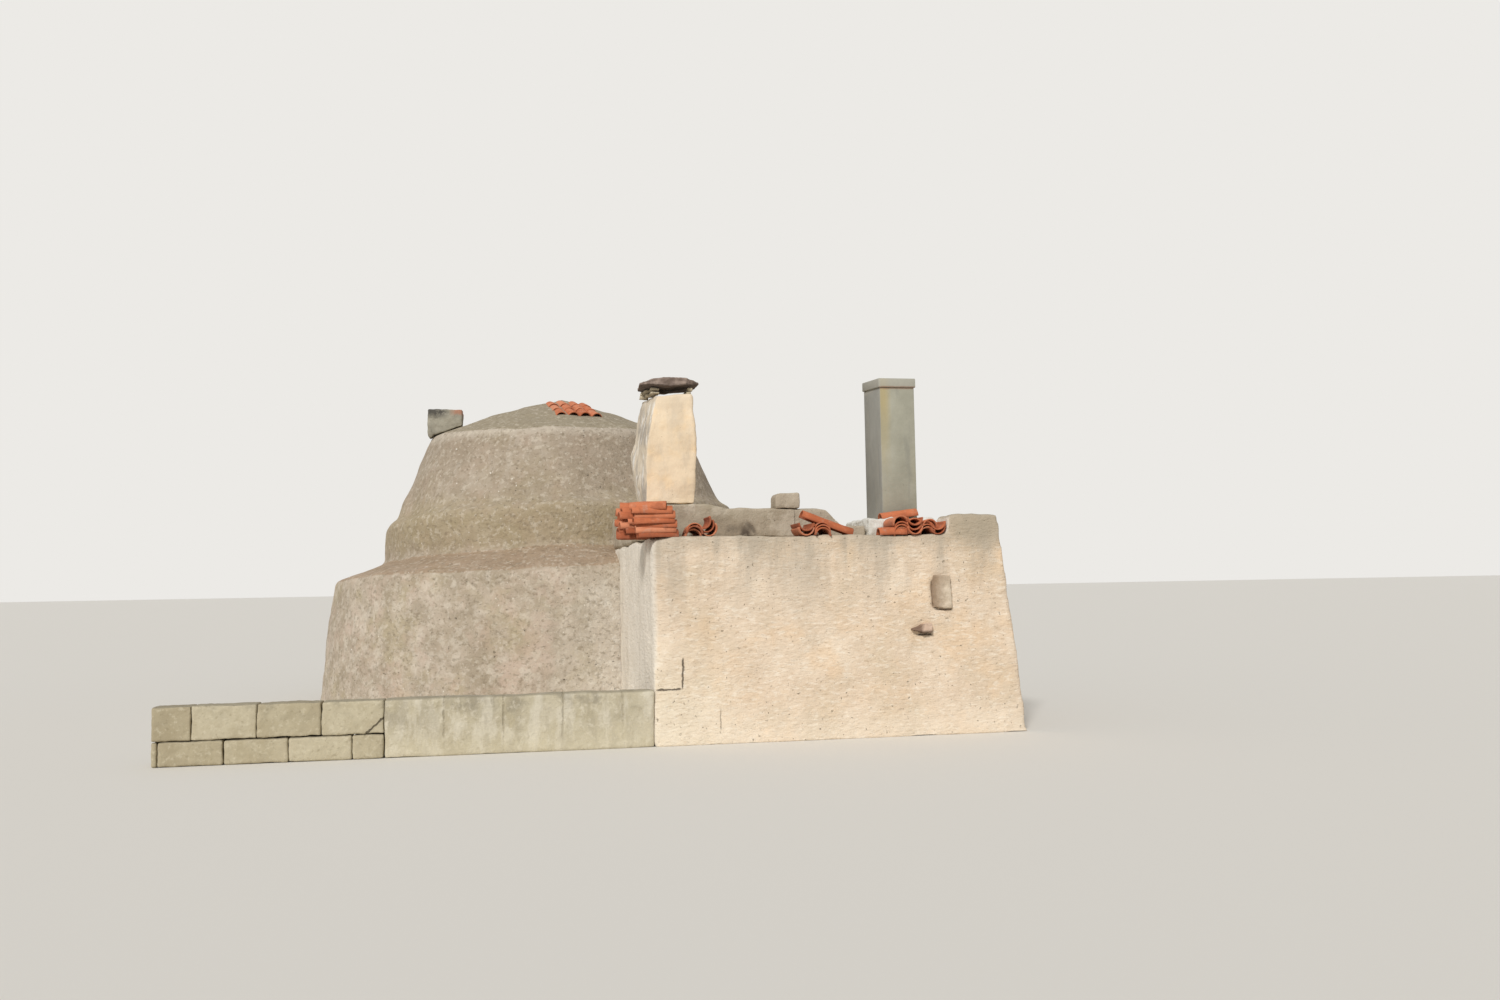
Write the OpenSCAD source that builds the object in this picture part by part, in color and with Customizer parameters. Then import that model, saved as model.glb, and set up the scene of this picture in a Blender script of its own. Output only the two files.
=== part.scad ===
/* [Round house] */
// Radius at the foot of the battered lower wall
base_radius = 3700; // [3650:5:3780]
// Radius of the lower wall at its top edge
ledge_radius = 3510; // [3440:5:3560]
// Height of the lower wall's top edge
ledge_height = 1960; // [1920:5:2010]
// Height at which the sloping ledge meets the drum
ledge_rise = 2225; // [2190:5:2260]
// Radius of the drum above the ledge
drum_radius = 2740; // [2700:5:2790]
// Height of the drum's top edge
drum_height = 2790; // [2740:5:2830]
// Radius at the foot of the upper cone
cone_radius = 2540; // [2500:5:2580]
// Height of the upper cone's foot
cone_height = 2900; // [2860:5:2940]
// Radius of the rim at the top of the upper cone
rim_radius = 2070; // [2030:5:2110]
// Height of the rim
rim_height = 4060; // [4020:5:4110]
// Height of the roof's peak
peak_height = 4740; // [4680:5:4800]
// How far the roof swells above a straight cone: 1 is straight
roof_swell = 1.15; // [1:0.05:1.4]

/* [Round room] */
// Radius of the room
room_radius = 1900; // [1850:5:1950]
// Height of the room's floor
floor_height = 450; // [400:5:500]
// Height at which the corbelled dome springs
spring_height = 1800; // [1770:5:1840]
// Number of corbelled courses in the dome
course_count = 12; // [10:1:14]
// Radius of the dome's last opening, under the closing slab
eye_radius = 300; // [260:5:340]
// Width of the bed on which each course of the dome lies
course_bed = 400; // [370:5:450]
// Thickness of the rubble between the drum's face and the dome's first course
drum_backing = 440; // [400:5:480]
// How fast the dome closes: more is steeper at the foot
dome_curve = 1.7; // [1.5:0.1:2]
// Thickness of the closing slab
slab_thickness = 120; // [100:5:150]

/* [Round house doorway] */
// Clear width of the doorway
door_width = 850; // [780:5:900]
// Height of the doorway's head
door_head = 2100; // [2060:5:2140]
// Width of each door jamb
jamb_width = 250; // [220:5:300]
// Distance from the centre to the jambs' outer face
jamb_front = 3740; // [3720:5:3800]
// Depth of the jambs
jamb_depth = 640; // [580:5:700]
// Height of the door lintel
lintel_height = 240; // [200:5:280]

/* [Kitchen] */
// Distance from the round house's centre line to the kitchen's left front corner
kitchen_left = 725; // [690:5:760]
// How far the left wall stands further out at the round house than at its front corner
left_skew = 90; // [60:5:120]
// Distance from the centre line to the foot of the right wall
kitchen_right = 4925; // [4880:5:4980]
// Distance from the centre to the foot of the front wall
kitchen_front = 6930; // [6900:5:6960]
// Distance from the centre to the outer face of the back wall
kitchen_back = 2200; // [2150:5:2250]
// Height of the kitchen's walls
wall_height = 2220; // [2200:5:2240]
// Lean of the front wall's face over its height
front_batter = 60; // [40:5:90]
// Lean of the right wall's face over its height
right_batter = 230; // [200:5:260]
// Thickness of the front wall at its foot
front_thickness = 780; // [750:5:820]
// Thickness of the other walls
wall_thickness = 500; // [470:5:530]
// Height of the kitchen's floor
kitchen_floor_height = 300; // [260:5:340]
// Width of the kitchen's doorway
kitchen_door_width = 850; // [800:5:880]
// Distance from the centre line to the kitchen doorway's left side
kitchen_door_left = 3300; // [3260:5:3340]
// Height of the lintel over the kitchen doorway
kitchen_lintel = 220; // [200:5:260]

/* [Kitchen roofs] */
// Distance from the centre line to the raised roof's right end
raised_right = 3000; // [2960:5:3050]
// Height of the raised roof
raised_height = 2620; // [2590:5:2650]
// Height of the raised roof at its lower right part
lowered_height = 2560; // [2530:5:2580]
// Distance from the centre line to the step between the two heights
roof_step = 1400; // [1360:5:1440]
// Length of the slope at the raised roof's right end
raised_end_slope = 210; // [150:5:260]
// Depth of the open shelf along the front wall's top
shelf_depth = 600; // [570:5:640]
// Thickness of the flat roof on the right
flat_thickness = 140; // [120:5:160]
// Height of the raised corner above the wall
corner_rise = 225; // [200:5:250]
// Length of the raised corner along the front
corner_length = 630; // [600:5:640]
// Depth of the raised corner
corner_depth = 415; // [380:5:425]
// Height of the small block on the raised roof
stub_height = 180; // [160:5:200]

/* [Broad chimney] */
// Height of the chimney's top
broad_top = 3885; // [3840:5:3920]
// Height at which the chimney is widest
broad_belly = 3250; // [3200:5:3300]
// Width of the chimney's front face at its foot
broad_width = 570; // [540:5:600]
// Depth of the chimney
broad_depth = 600; // [570:5:630]
// Side of the square flue
broad_flue = 240; // [220:5:260]
// Height of the stones that hold up the cap slab
prop_height = 85; // [70:5:100]
// Thickness of the cap slab
cap_slab = 100; // [85:5:120]

/* [Slim chimney] */
// Distance from the centre line to the chimney's left face
slim_left = 3515; // [3490:5:3540]
// Width of the chimney
slim_width = 425; // [400:5:450]
// Depth of the chimney
slim_depth = 660; // [630:5:690]
// Height of the chimney's top
slim_top = 4105; // [4060:5:4140]
// Height of the band round the top
slim_band = 110; // [90:5:130]
// How far the band stands out
band_lip = 16; // [10:1:24]
// Thickness of the chimney's walls
slim_wall = 95; // [80:5:110]
// Height of the mortar pad above the shelf
pad_height = 210; // [180:5:235]

/* [Roof tiles] */
// Length of a half-round clay tile
tile_length = 440; // [420:5:460]
// Outer radius of a tile
tile_radius = 92; // [86:1:98]
// Thickness of a tile
tile_thickness = 15; // [12:1:18]
// Length of the tile that slopes down on the front wall
long_tile = 620; // [580:5:650]
// Length of a tile on the roof's peak that shows below the next row
shown_length = 350; // [330:5:370]
// Rows of tiles on the roof's peak
tile_rows = 3; // [2:1:3]
// Columns of tiles on the roof's peak
tile_columns = 4; // [3:1:5]

/* [Low wall] */
// Height of the low block wall
low_height = 590; // [560:5:620]
// Thickness of the low wall
low_thickness = 260; // [230:5:300]
// Length of the rendered stretch beside the kitchen
rendered_length = 2755; // [2700:5:2800]
// Length of one bare block
block_length = 612; // [590:1:640]
// Length of the last block
end_block_length = 370; // [330:5:410]

/* [Hidden] */

$fn = 192;

clearance = 0.3;           // between loose tiles and what carries them
cut_margin = 1000;         // how far a cutting shape runs past what it cuts
thin = 1;                  // slice that a loft starts or ends on
roof_edge = 30;            // height of the roof's upright edge at the rim
roof_bands = 6;            // straight bands that make up the roof's swelling slope

tile_patch_centre = 145;   // distance of the roof's tiles from the centre line
tile_patch_front = 1400;   // distance of their lower edge from the centre
tile_sink = 42;            // depth to which they are pressed into the mortar
tile_lip = 18;             // height by which each one's lower end stands over the row below

rim_block_size = [520, 460, 440];
rim_block_lip = 10;        // how far the block stands out over the rim
rim_block_front = 500;     // distance of its front from the centre

corner_stone_size = [300, 420, 320];
large_stone_place = [3855, 1385];     // left side and foot height
large_stone_size = [210, 215, 340];   // width, depth inside the wall, height
large_stone_reach = 45;               // how far it stands out of the wall
small_stone_place = [3655, 1105];
small_stone_size = [175, 85, 120];
small_stone_reach = 60;

chimney_setback = 130;     // distance from the shelf's back to the chimneys' fronts
broad_foot = [0, 0, 35];          // the plan's left shift, right shift and slant of its left side
broad_middle = [15, 30, 115];
broad_head = [135, -20, 110];
flue_share = 0.62;         // the broad flue's centre, as a share of the chimney's width
prop_length = 110;
prop_margin = 40;          // how far the props stay inside the chimney's faces
slab_overhang = [45, 75];  // of the cap slab, on the left and on the right
slab_lip = [40, 10];       // how far the cap slab stands out in front and behind
slab_cuts = [[[0, 120], [110, 0]], [[160, 15], [0, 150]],      // its knocked off corners
    [[30, 60], [200, 0]], [[150, 20], [20, 110]]];
pad_apron = 240;           // how far the mortar pad reaches to the left and in front
pad_lip = 120;             // how far it reaches to the right and behind

step_run = 280;            // length of the slope between the raised roof's two heights
corner_lean = 25;          // lean of the raised corner's right end
corner_slope = [15, 60];   // shifts of its left end just below the top and at the top
corner_nick = 30;          // height of the top part of that end
stub_place = [2205, 2490];
stub_front = 300;          // distance of the stub's front from the shelf's back, and its depth
stub_round = 70;           // radius of its left shoulder

corner_pile_pulls = [[150, 190, 120, 210, 160, 200, 140],     // how far each tile of the three
    [205, 130, 180, 110, 190, 150, 170], [0, 25, 10, 45, 30, 60]];    // stacks is pulled out, from the back
corner_pile_right = 290;   // distance of its right end from the kitchen's left front corner
leaning_place = 620;       // distance of the leaning tiles from that corner
leaning_roll = 35;         // degrees by which they lean
leaning_layers = 3;
sloping_place = 1890;      // distance of the stacks under the long tile from that corner
sloping_layers = 2;
long_tile_slope = 21;      // degrees
arched_layers = [1, 4, 3, 2];
arched_overhangs = [15, 40, 40, 40];
arched_left = 165;         // distance of its first stack from the slim chimney's left face
tile_overhang = 40;        // how far the tiles' ends stand out over the wall's front edge
pad_tile_place = 140;      // distance of the tile on the pad from the slim chimney's left face

plaster_grey = "#a1927a";
lime_cream = "#e3cdb0";
cement_grey = "#b4ac98";
bare_stone = "#b9ae98";
clay = "#c4694a";

// Heights and faces of the round house
lining_top = rim_height - slab_thickness;
course_height = (lining_top - spring_height) / course_count;
dome_radius = drum_radius - drum_backing - course_bed;
function wall_radius(z) = base_radius + (ledge_radius - base_radius) * z / ledge_height;
function course_radius(i) = eye_radius + (dome_radius - eye_radius) * (1 - pow(i / course_count, dome_curve));
function roof_height(r) = rim_height + roof_edge
    + (peak_height - rim_height - roof_edge) * (1 - pow(r / rim_radius, roof_swell));
slab_radius = course_radius(course_count - 1) + course_bed;
surround_back = jamb_front - jamb_depth;
surround_half = door_width / 2 + jamb_width;

// Faces of the kitchen
function left_face(y) = kitchen_left - left_skew * (y + kitchen_front) / (kitchen_front - ledge_radius);
front_batter_angle = atan(front_batter / wall_height);
right_batter_angle = atan(right_batter / wall_height);
inner_front = -kitchen_front + front_thickness;
inner_right = kitchen_right - wall_thickness;
inner_back = -kitchen_back - wall_thickness;
shelf_front = -kitchen_front + front_batter;
shelf_back = -kitchen_front + shelf_depth;
shelf_middle = (shelf_front + shelf_back) / 2;
roof_right = kitchen_right - right_batter;
flat_top = wall_height + flat_thickness;
kitchen_door_head = wall_height - kitchen_lintel;
kitchen_door_right = kitchen_door_left + kitchen_door_width;

// Places of the chimneys and their flues
chimney_front = shelf_back + chimney_setback;
broad_left = kitchen_left;
broad_right = broad_left + broad_width;
broad_flue_left = broad_left + broad_width * flue_share - broad_flue / 2;
broad_flue_front = chimney_front + (broad_depth - broad_flue) / 2;
slim_flue_size = [slim_width - 2 * slim_wall, slim_depth - 2 * slim_wall];
pad_top = wall_height + pad_height;

// How tiles lie beside and over each other
tile_pitch = 2 * tile_radius + clearance;
nest_step = sqrt(pow(tile_radius, 2) - pow(tile_radius - tile_thickness, 2)) + clearance;

// Outline of the whole round house, as a filled solid up to the rim
module round_envelope() {
    rotate_extrude() polygon([[0, -1], [wall_radius(-1), -1], [ledge_radius, ledge_height],
        [drum_radius, ledge_rise], [drum_radius, drum_height], [cone_radius, cone_height],
        [rim_radius, rim_height], [0, rim_height]]);
}

// The dome's courses as a filled solid: each ring is set in from the one below
module course_stack() {
    rotate_extrude() polygon(concat(
        [[0, lining_top], [0, spring_height]],
        [for (i = [0 : course_count - 1], k = [0, 1])
            [course_radius(i) + course_bed, spring_height + (i + k) * course_height]]));
}

module door_passage(z0) {
    translate([-door_width / 2, 0, z0]) cube([door_width, base_radius + cut_margin, door_head - z0]);
}

module door_surround_space() {
    translate([-surround_half, surround_back, -1])
        cube([2 * surround_half, base_radius + cut_margin - surround_back, door_head + lintel_height + 1]);
}

// A quarter of the battered lower wall
module wall_quarter(turn) {
    color(plaster_grey) difference() {
        rotate([0, 0, turn]) rotate_extrude(angle = 90) polygon([[room_radius, 0], [base_radius, 0],
            [wall_radius(spring_height), spring_height], [room_radius, spring_height]]);
        door_passage(-1);
        door_surround_space();
    }
}

module wall_front_left() { wall_quarter(180); }
module wall_front_right() { wall_quarter(270); }
module wall_back_right() { wall_quarter(0); }
module wall_back_left() { wall_quarter(90); }

// The sloping ledge that runs round the drum
module ledge() {
    color(plaster_grey) difference() {
        rotate_extrude() polygon([[drum_radius, spring_height], [wall_radius(spring_height), spring_height],
            [ledge_radius, ledge_height], [drum_radius, ledge_rise]]);
        door_passage(0);
        door_surround_space();
    }
}

module drum() {
    color(plaster_grey) difference() {
        rotate_extrude() polygon([[eye_radius, spring_height], [drum_radius, spring_height],
            [drum_radius, drum_height], [cone_radius, cone_height], [eye_radius, cone_height]]);
        course_stack();
        door_passage(0);
    }
}

module upper_cone() {
    color(plaster_grey) difference() {
        rotate_extrude() polygon([[0, cone_height], [cone_radius, cone_height],
            [rim_radius, rim_height], [0, rim_height]]);
        course_stack();
        cylinder(h = rim_height + cut_margin, r = slab_radius);
    }
}

// The corbelled dome, in three rings of dry courses. Each course reaches a little further in
// than the one below it, up to the closing slab.
module dome_courses(first, last) {
    color(bare_stone) difference() {
        rotate_extrude() polygon(concat(
            [for (i = [first : last], k = [0, 1])
                [course_radius(i), spring_height + (i + k) * course_height]],
            [for (i = [last : -1 : first], k = [1, 0])
                [course_radius(i) + course_bed, spring_height + (i + k) * course_height]]));
        door_passage(0);
    }
}

lower_courses = floor(course_count / 3);
middle_courses = floor(2 * course_count / 3);
module dome_lower_courses() { dome_courses(0, lower_courses - 1); }
module dome_middle_courses() { dome_courses(lower_courses, middle_courses - 1); }
module dome_upper_courses() { dome_courses(middle_courses, course_count - 1); }

module closing_slab() {
    color(bare_stone) translate([0, 0, lining_top]) cylinder(h = slab_thickness, r = slab_radius);
}

module roof_cone_solid() {
    rotate_extrude() polygon(concat([[0, rim_height], [rim_radius, rim_height]],
        [for (k = [0 : roof_bands]) let (r = rim_radius * (1 - k / roof_bands)) [r, roof_height(r)]]));
}

module roof_cone() { color(plaster_grey) roof_cone_solid(); }

// One half-round tile, crown up, lying along +Y from the origin
module half_tile(length) {
    translate([0, length, 0]) rotate([90, 0, 0]) linear_extrude(length) difference() {
        circle(tile_radius);
        circle(tile_radius - tile_thickness);
        translate([-2 * tile_radius, -4 * tile_radius]) square(4 * tile_radius);
    }
}

// Clay tiles bedded in the front of the roof's peak. Each one follows the roof under it, and
// its lower end stands up over the row below.
module roof_tiles() {
    color(clay) for (row = [0 : tile_rows - 1], column = [0 : tile_columns - 1]) {
        x = tile_patch_centre + (column - (tile_columns - 1) / 2) * tile_pitch;
        y = -tile_patch_front + row * shown_length;
        low = roof_height(norm([x, y])) - tile_sink + tile_lip;
        high = roof_height(norm([x, y + shown_length])) - tile_sink;
        slope = atan((high - low) / shown_length);
        difference() {
            translate([x, y, low]) rotate([slope, 0, 0]) half_tile((shown_length - clearance) / cos(slope));
            roof_cone_solid();
        }
    }
}

// Squared block that stands on the left of the rim
module rim_block() {
    color(lime_cream) difference() {
        translate([-rim_radius - rim_block_lip, -rim_block_front, rim_height]) cube(rim_block_size);
        roof_cone_solid();
    }
}

module room_floor() { color(bare_stone) cylinder(h = floor_height, r = room_radius); }

module door_threshold() {
    color(bare_stone) difference() {
        translate([-door_width / 2, 0, 0]) cube([door_width, jamb_front, floor_height]);
        translate([0, 0, -1]) cylinder(h = floor_height + 2, r = room_radius);
    }
}

module door_jamb(x) {
    color(bare_stone) translate([x, surround_back, 0]) cube([jamb_width, jamb_depth, door_head]);
}

module door_jamb_left() { door_jamb(-surround_half); }
module door_jamb_right() { door_jamb(door_width / 2); }

module door_lintel() {
    color(bare_stone) translate([-surround_half, surround_back, door_head])
        cube([2 * surround_half, jamb_depth, lintel_height]);
}

// The space outside the kitchen's leaning front and right faces
module outside_batters() {
    translate([0, -kitchen_front, 0]) rotate([-front_batter_angle, 0, 0])
        translate([-cut_margin, -cut_margin, -cut_margin])
            cube([kitchen_right + 2 * cut_margin, cut_margin, wall_height + 2 * cut_margin]);
    translate([kitchen_right, 0, 0]) rotate([0, -right_batter_angle, 0])
        translate([0, -kitchen_front - cut_margin, -cut_margin])
            cube([cut_margin, kitchen_front + cut_margin, wall_height + 2 * cut_margin]);
}

module corner_stone_space() {
    translate([0, -kitchen_front - 1, low_height])
        cube([kitchen_left + corner_stone_size.x, corner_stone_size.y + 1, corner_stone_size.z]);
}

module front_wall_mass() {
    difference() {
        linear_extrude(wall_height) polygon([[left_face(-kitchen_front), -kitchen_front],
            [kitchen_right, -kitchen_front], [kitchen_right, inner_front],
            [left_face(inner_front), inner_front]]);
        outside_batters();
    }
}

// A stone that stands out of the front wall
module wall_stone(place, size, reach) {
    translate([place.x, -kitchen_front + front_batter * place.y / wall_height - reach, place.y])
        cube([size.x, size.y + reach, size.z]);
}

module large_stone_solid() { wall_stone(large_stone_place, large_stone_size, large_stone_reach); }
module small_stone_solid() { wall_stone(small_stone_place, small_stone_size, small_stone_reach); }
module large_wall_stone() { color(bare_stone) large_stone_solid(); }
module small_wall_stone() { color(bare_stone) small_stone_solid(); }

module kitchen_front_wall() {
    color(lime_cream) difference() {
        front_wall_mass();
        corner_stone_space();
        large_stone_solid();
        small_stone_solid();
    }
}

module corner_stone() {
    color(lime_cream) intersection() {
        front_wall_mass();
        corner_stone_space();
    }
}

// Recess in the left wall for the hearth, below the broad chimney's flue
module hearth_recess() {
    translate([broad_flue_left, inner_front - 1, kitchen_floor_height])
        cube([wall_thickness, chimney_front + broad_depth - inner_front + 1, wall_height]);
}

module kitchen_left_wall() {
    color(lime_cream) difference() {
        linear_extrude(wall_height) polygon([[left_face(inner_front), inner_front],
            [left_face(inner_front) + wall_thickness, inner_front],
            [left_face(-drum_radius) + wall_thickness, -drum_radius + wall_thickness],
            [left_face(-drum_radius), -drum_radius + wall_thickness]]);
        hearth_recess();
        round_envelope();
    }
}

module kitchen_right_wall() {
    color(lime_cream) difference() {
        translate([inner_right, inner_front, 0])
            cube([wall_thickness, -kitchen_back - inner_front, wall_height]);
        outside_batters();
    }
}

module back_wall_part(x0, x1, z0) {
    color(lime_cream) difference() {
        translate([x0, inner_back, z0]) cube([x1 - x0, wall_thickness, wall_height - z0]);
        round_envelope();
    }
}

module kitchen_back_wall_left() { back_wall_part(base_radius / 3, kitchen_door_left, 0); }
module kitchen_back_wall_right() { back_wall_part(kitchen_door_right, inner_right, 0); }
module kitchen_lintel_stone() { back_wall_part(kitchen_door_left, kitchen_door_right, kitchen_door_head); }

module kitchen_floor() {
    color(bare_stone) difference() {
        union() {
            linear_extrude(kitchen_floor_height) polygon([
                [left_face(inner_front) + wall_thickness, inner_front],
                [inner_right, inner_front], [inner_right, inner_back],
                [left_face(-drum_radius) + wall_thickness, inner_back]]);
            translate([kitchen_door_left, inner_back - 1, 0])
                cube([kitchen_door_width, wall_thickness + 1, kitchen_floor_height]);
        }
        round_envelope();
    }
}

module broad_flue_space() {
    translate([broad_flue_left, broad_flue_front, wall_height - 1])
        cube([broad_flue, broad_flue, broad_top - wall_height + cut_margin]);
}

module slim_flue_space() {
    translate([slim_left + slim_wall, chimney_front + slim_wall, wall_height - 1])
        cube([slim_flue_size.x, slim_flue_size.y, slim_top - wall_height + cut_margin]);
}

module pad_space(height) {
    translate([slim_left - pad_apron, chimney_front - pad_apron, wall_height])
        cube([slim_width + pad_apron + pad_lip, slim_depth + pad_apron + pad_lip, height]);
}

// Roof over the kitchen's left part, lower at its right end, where it slopes down to the flat roof
module raised_roof() {
    roof_left = left_face(shelf_back) - left_skew;
    color(cement_grey) difference() {
        translate([0, -kitchen_back, wall_height]) rotate([90, 0, 0])
            linear_extrude(-kitchen_back - shelf_back) polygon([
                [roof_left, 0], [raised_right, 0], [raised_right, flat_thickness],
                [raised_right - raised_end_slope, lowered_height - wall_height],
                [roof_step + step_run, lowered_height - wall_height],
                [roof_step, raised_height - wall_height],
                [roof_left, raised_height - wall_height]]);
        linear_extrude(raised_height + 1) polygon([
            [left_face(shelf_back - 10), shelf_back - 10], [left_face(0), 0],
            [left_face(0) - cut_margin, 0], [left_face(0) - cut_margin, shelf_back - 10]]);
        round_envelope();
        broad_flue_space();
    }
}

module flat_roof() {
    color(cement_grey) difference() {
        translate([raised_right, shelf_back, wall_height])
            cube([roof_right - raised_right, -kitchen_back - shelf_back, flat_thickness]);
        slim_flue_space();
        pad_space(flat_thickness + 1);
    }
}

// The front wall's right end, carried up past the roof, with a sloping left end
module raised_corner() {
    left = roof_right - corner_length;
    color(lime_cream) translate([0, shelf_front + corner_depth, wall_height]) rotate([90, 0, 0])
        linear_extrude(corner_depth) polygon([[left, 0], [roof_right, 0],
            [roof_right - corner_lean, corner_rise], [left + corner_slope[1], corner_rise],
            [left + corner_slope[0], corner_rise - corner_nick]]);
}

// Small block on the raised roof, with one shoulder rounded off
module roof_stub() {
    width = stub_place[1] - stub_place[0];
    color(cement_grey) translate([stub_place[0], shelf_back + stub_front, lowered_height]) rotate([90, 0, 0])
        linear_extrude(stub_front) union() {
            square([width, stub_height - stub_round]);
            translate([stub_round, 0]) square([width - stub_round, stub_height]);
            translate([stub_round, stub_height - stub_round]) circle(stub_round);
        }
}

// Plan of the broad chimney at one height
module broad_slice(z, shape) {
    left = broad_left + shape[0];
    right = broad_right + shape[1];
    translate([0, 0, z]) linear_extrude(thin) polygon([[left, chimney_front], [right, chimney_front],
        [right, chimney_front + broad_depth], [left - shape[2], chimney_front + broad_depth]]);
}

module broad_chimney() {
    color(lime_cream) difference() {
        union() {
            hull() {
                broad_slice(raised_height, broad_foot);
                broad_slice(broad_belly - thin, broad_middle);
            }
            hull() {
                broad_slice(broad_belly - thin, broad_middle);
                broad_slice(broad_top - thin, broad_head);
            }
        }
        broad_flue_space();
    }
}

// Stones that hold the cap slab clear of the flue, for the smoke
module chimney_props() {
    flue_right = broad_flue_left + broad_flue;
    color(bare_stone) {
        translate([broad_left + broad_head[0] - prop_length / 2, chimney_front + prop_margin, broad_top])
            cube([prop_length, broad_depth - 2 * prop_margin, prop_height]);
        translate([flue_right + 1, chimney_front + prop_margin, broad_top])
            cube([broad_right + broad_head[1] - flue_right - 1, broad_depth - 2 * prop_margin, prop_height]);
    }
}

// Rough slab on the broad chimney, with its corners knocked off
module chimney_slab() {
    left = broad_left - slab_overhang[0];
    right = broad_right + slab_overhang[1];
    front = chimney_front - slab_lip[0];
    back = chimney_front + broad_depth + slab_lip[1];
    corners = [[left, front, 1, 1], [right, front, -1, 1], [right, back, -1, -1], [left, back, 1, -1]];
    color(bare_stone) translate([0, 0, broad_top + prop_height]) linear_extrude(cap_slab)
        polygon([for (i = [0 : 3], cut = slab_cuts[i])
            [corners[i][0] + corners[i][2] * cut.x, corners[i][1] + corners[i][3] * cut.y]]);
}

module chimney_pad() {
    color(lime_cream) difference() {
        pad_space(pad_height);
        slim_flue_space();
    }
}

module slim_chimney() {
    color(cement_grey) difference() {
        translate([slim_left, chimney_front, pad_top])
            cube([slim_width, slim_depth, slim_top - slim_band - pad_top]);
        slim_flue_space();
    }
}

module slim_chimney_band() {
    color(cement_grey) difference() {
        translate([slim_left - band_lip, chimney_front - band_lip, slim_top - slim_band])
            cube([slim_width + 2 * band_lip, slim_depth + 2 * band_lip, slim_band]);
        slim_flue_space();
    }
}

// Tiles nested over each other, with their ends towards the front
module tile_stack(x, y, layers) {
    for (k = [0 : layers - 1])
        translate([x, y, wall_height + clearance + k * nest_step]) half_tile(tile_length);
}

// Tiles nested into each other with their hollow side up, or rolled to one side
module hollow_stack(x, y, roll, layers) {
    translate([x, y, wall_height + tile_radius + clearance]) rotate([0, roll, 0])
        for (k = [0 : layers - 1]) translate([0, 0, -k * nest_step]) half_tile(tile_length);
}

// Tiles along the wall at its left end, each layer pulled out by another length
module tile_pile_corner() {
    right = kitchen_left + corner_pile_right;
    color(clay) for (row = [0 : len(corner_pile_pulls) - 1], k = [0 : len(corner_pile_pulls[row]) - 1])
        translate([right - corner_pile_pulls[row][k], shelf_back - clearance - (row + 0.5) * tile_pitch,
            wall_height + clearance + k * nest_step]) rotate([0, 0, 90]) half_tile(tile_length);
}

// Tiles with their hollow side up that lean against a single one
module tile_pile_leaning() {
    x = kitchen_left + leaning_place;
    front = shelf_front - tile_overhang / 2;
    color(clay) {
        tile_stack(x - sqrt(pow(tile_pitch, 2) - pow(tile_radius, 2)), front, 1);
        hollow_stack(x, front, 180 - leaning_roll, leaning_layers);
    }
}

// One stack with its hollow side up beside one with its crown up, and a long tile that slopes
// down over them to the wall
module tile_pile_sloping() {
    x = kitchen_left + sloping_place;
    crown = (sloping_layers - 1) * nest_step + clearance;
    foot = x + (tile_radius + clearance + crown * cos(long_tile_slope)) / sin(long_tile_slope);
    color(clay) {
        hollow_stack(x - tile_pitch, shelf_front - tile_overhang / 2, 180, sloping_layers);
        tile_stack(x, shelf_front - tile_overhang, sloping_layers);
        translate([foot, shelf_middle, wall_height + clearance]) rotate([0, long_tile_slope, 0])
            rotate([0, 0, 90]) half_tile(long_tile);
    }
}

// Stacks of unequal height side by side, and one tile across on the mortar pad behind them
module tile_pile_arched() {
    color(clay) {
        for (j = [0 : len(arched_layers) - 1])
            tile_stack(slim_left - arched_left + j * tile_pitch, shelf_front - arched_overhangs[j],
                arched_layers[j]);
        translate([slim_left + pad_tile_place + tile_length / 2, chimney_front - pad_apron / 2,
            pad_top + clearance]) rotate([0, 0, 90]) half_tile(tile_length);
    }
}

module low_wall_piece(x0, length) {
    translate([x0, -kitchen_front, 0]) cube([length, low_thickness, low_height]);
}

module low_wall_rendered() {
    color(lime_cream) difference() {
        low_wall_piece(kitchen_left - rendered_length, rendered_length);
        linear_extrude(wall_height) polygon([[left_face(-kitchen_front), -kitchen_front],
            [left_face(inner_front), inner_front], [kitchen_left + 1, inner_front],
            [kitchen_left + 1, -kitchen_front]]);
    }
}

module low_wall_blocks() {
    left = kitchen_left - rendered_length;
    color(bare_stone) {
        for (k = [1 : 3]) low_wall_piece(left - k * block_length, block_length);
        low_wall_piece(left - 3 * block_length - end_block_length, end_block_length);
    }
}

wall_front_left();
wall_front_right();
wall_back_left();
wall_back_right();
ledge();
drum();
upper_cone();
dome_lower_courses();
dome_middle_courses();
dome_upper_courses();
closing_slab();
roof_cone();
roof_tiles();
rim_block();
room_floor();
door_threshold();
door_jamb_left();
door_jamb_right();
door_lintel();
kitchen_front_wall();
kitchen_left_wall();
kitchen_right_wall();
kitchen_back_wall_left();
kitchen_back_wall_right();
kitchen_lintel_stone();
kitchen_floor();
raised_roof();
flat_roof();
raised_corner();
roof_stub();
corner_stone();
large_wall_stone();
small_wall_stone();
broad_chimney();
chimney_props();
chimney_slab();
chimney_pad();
slim_chimney();
slim_chimney_band();
tile_pile_corner();
tile_pile_leaning();
tile_pile_sloping();
tile_pile_arched();
low_wall_rendered();
low_wall_blocks();
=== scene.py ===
import math
import random

import bmesh
import bpy
from mathutils import Matrix, Vector, noise


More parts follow.
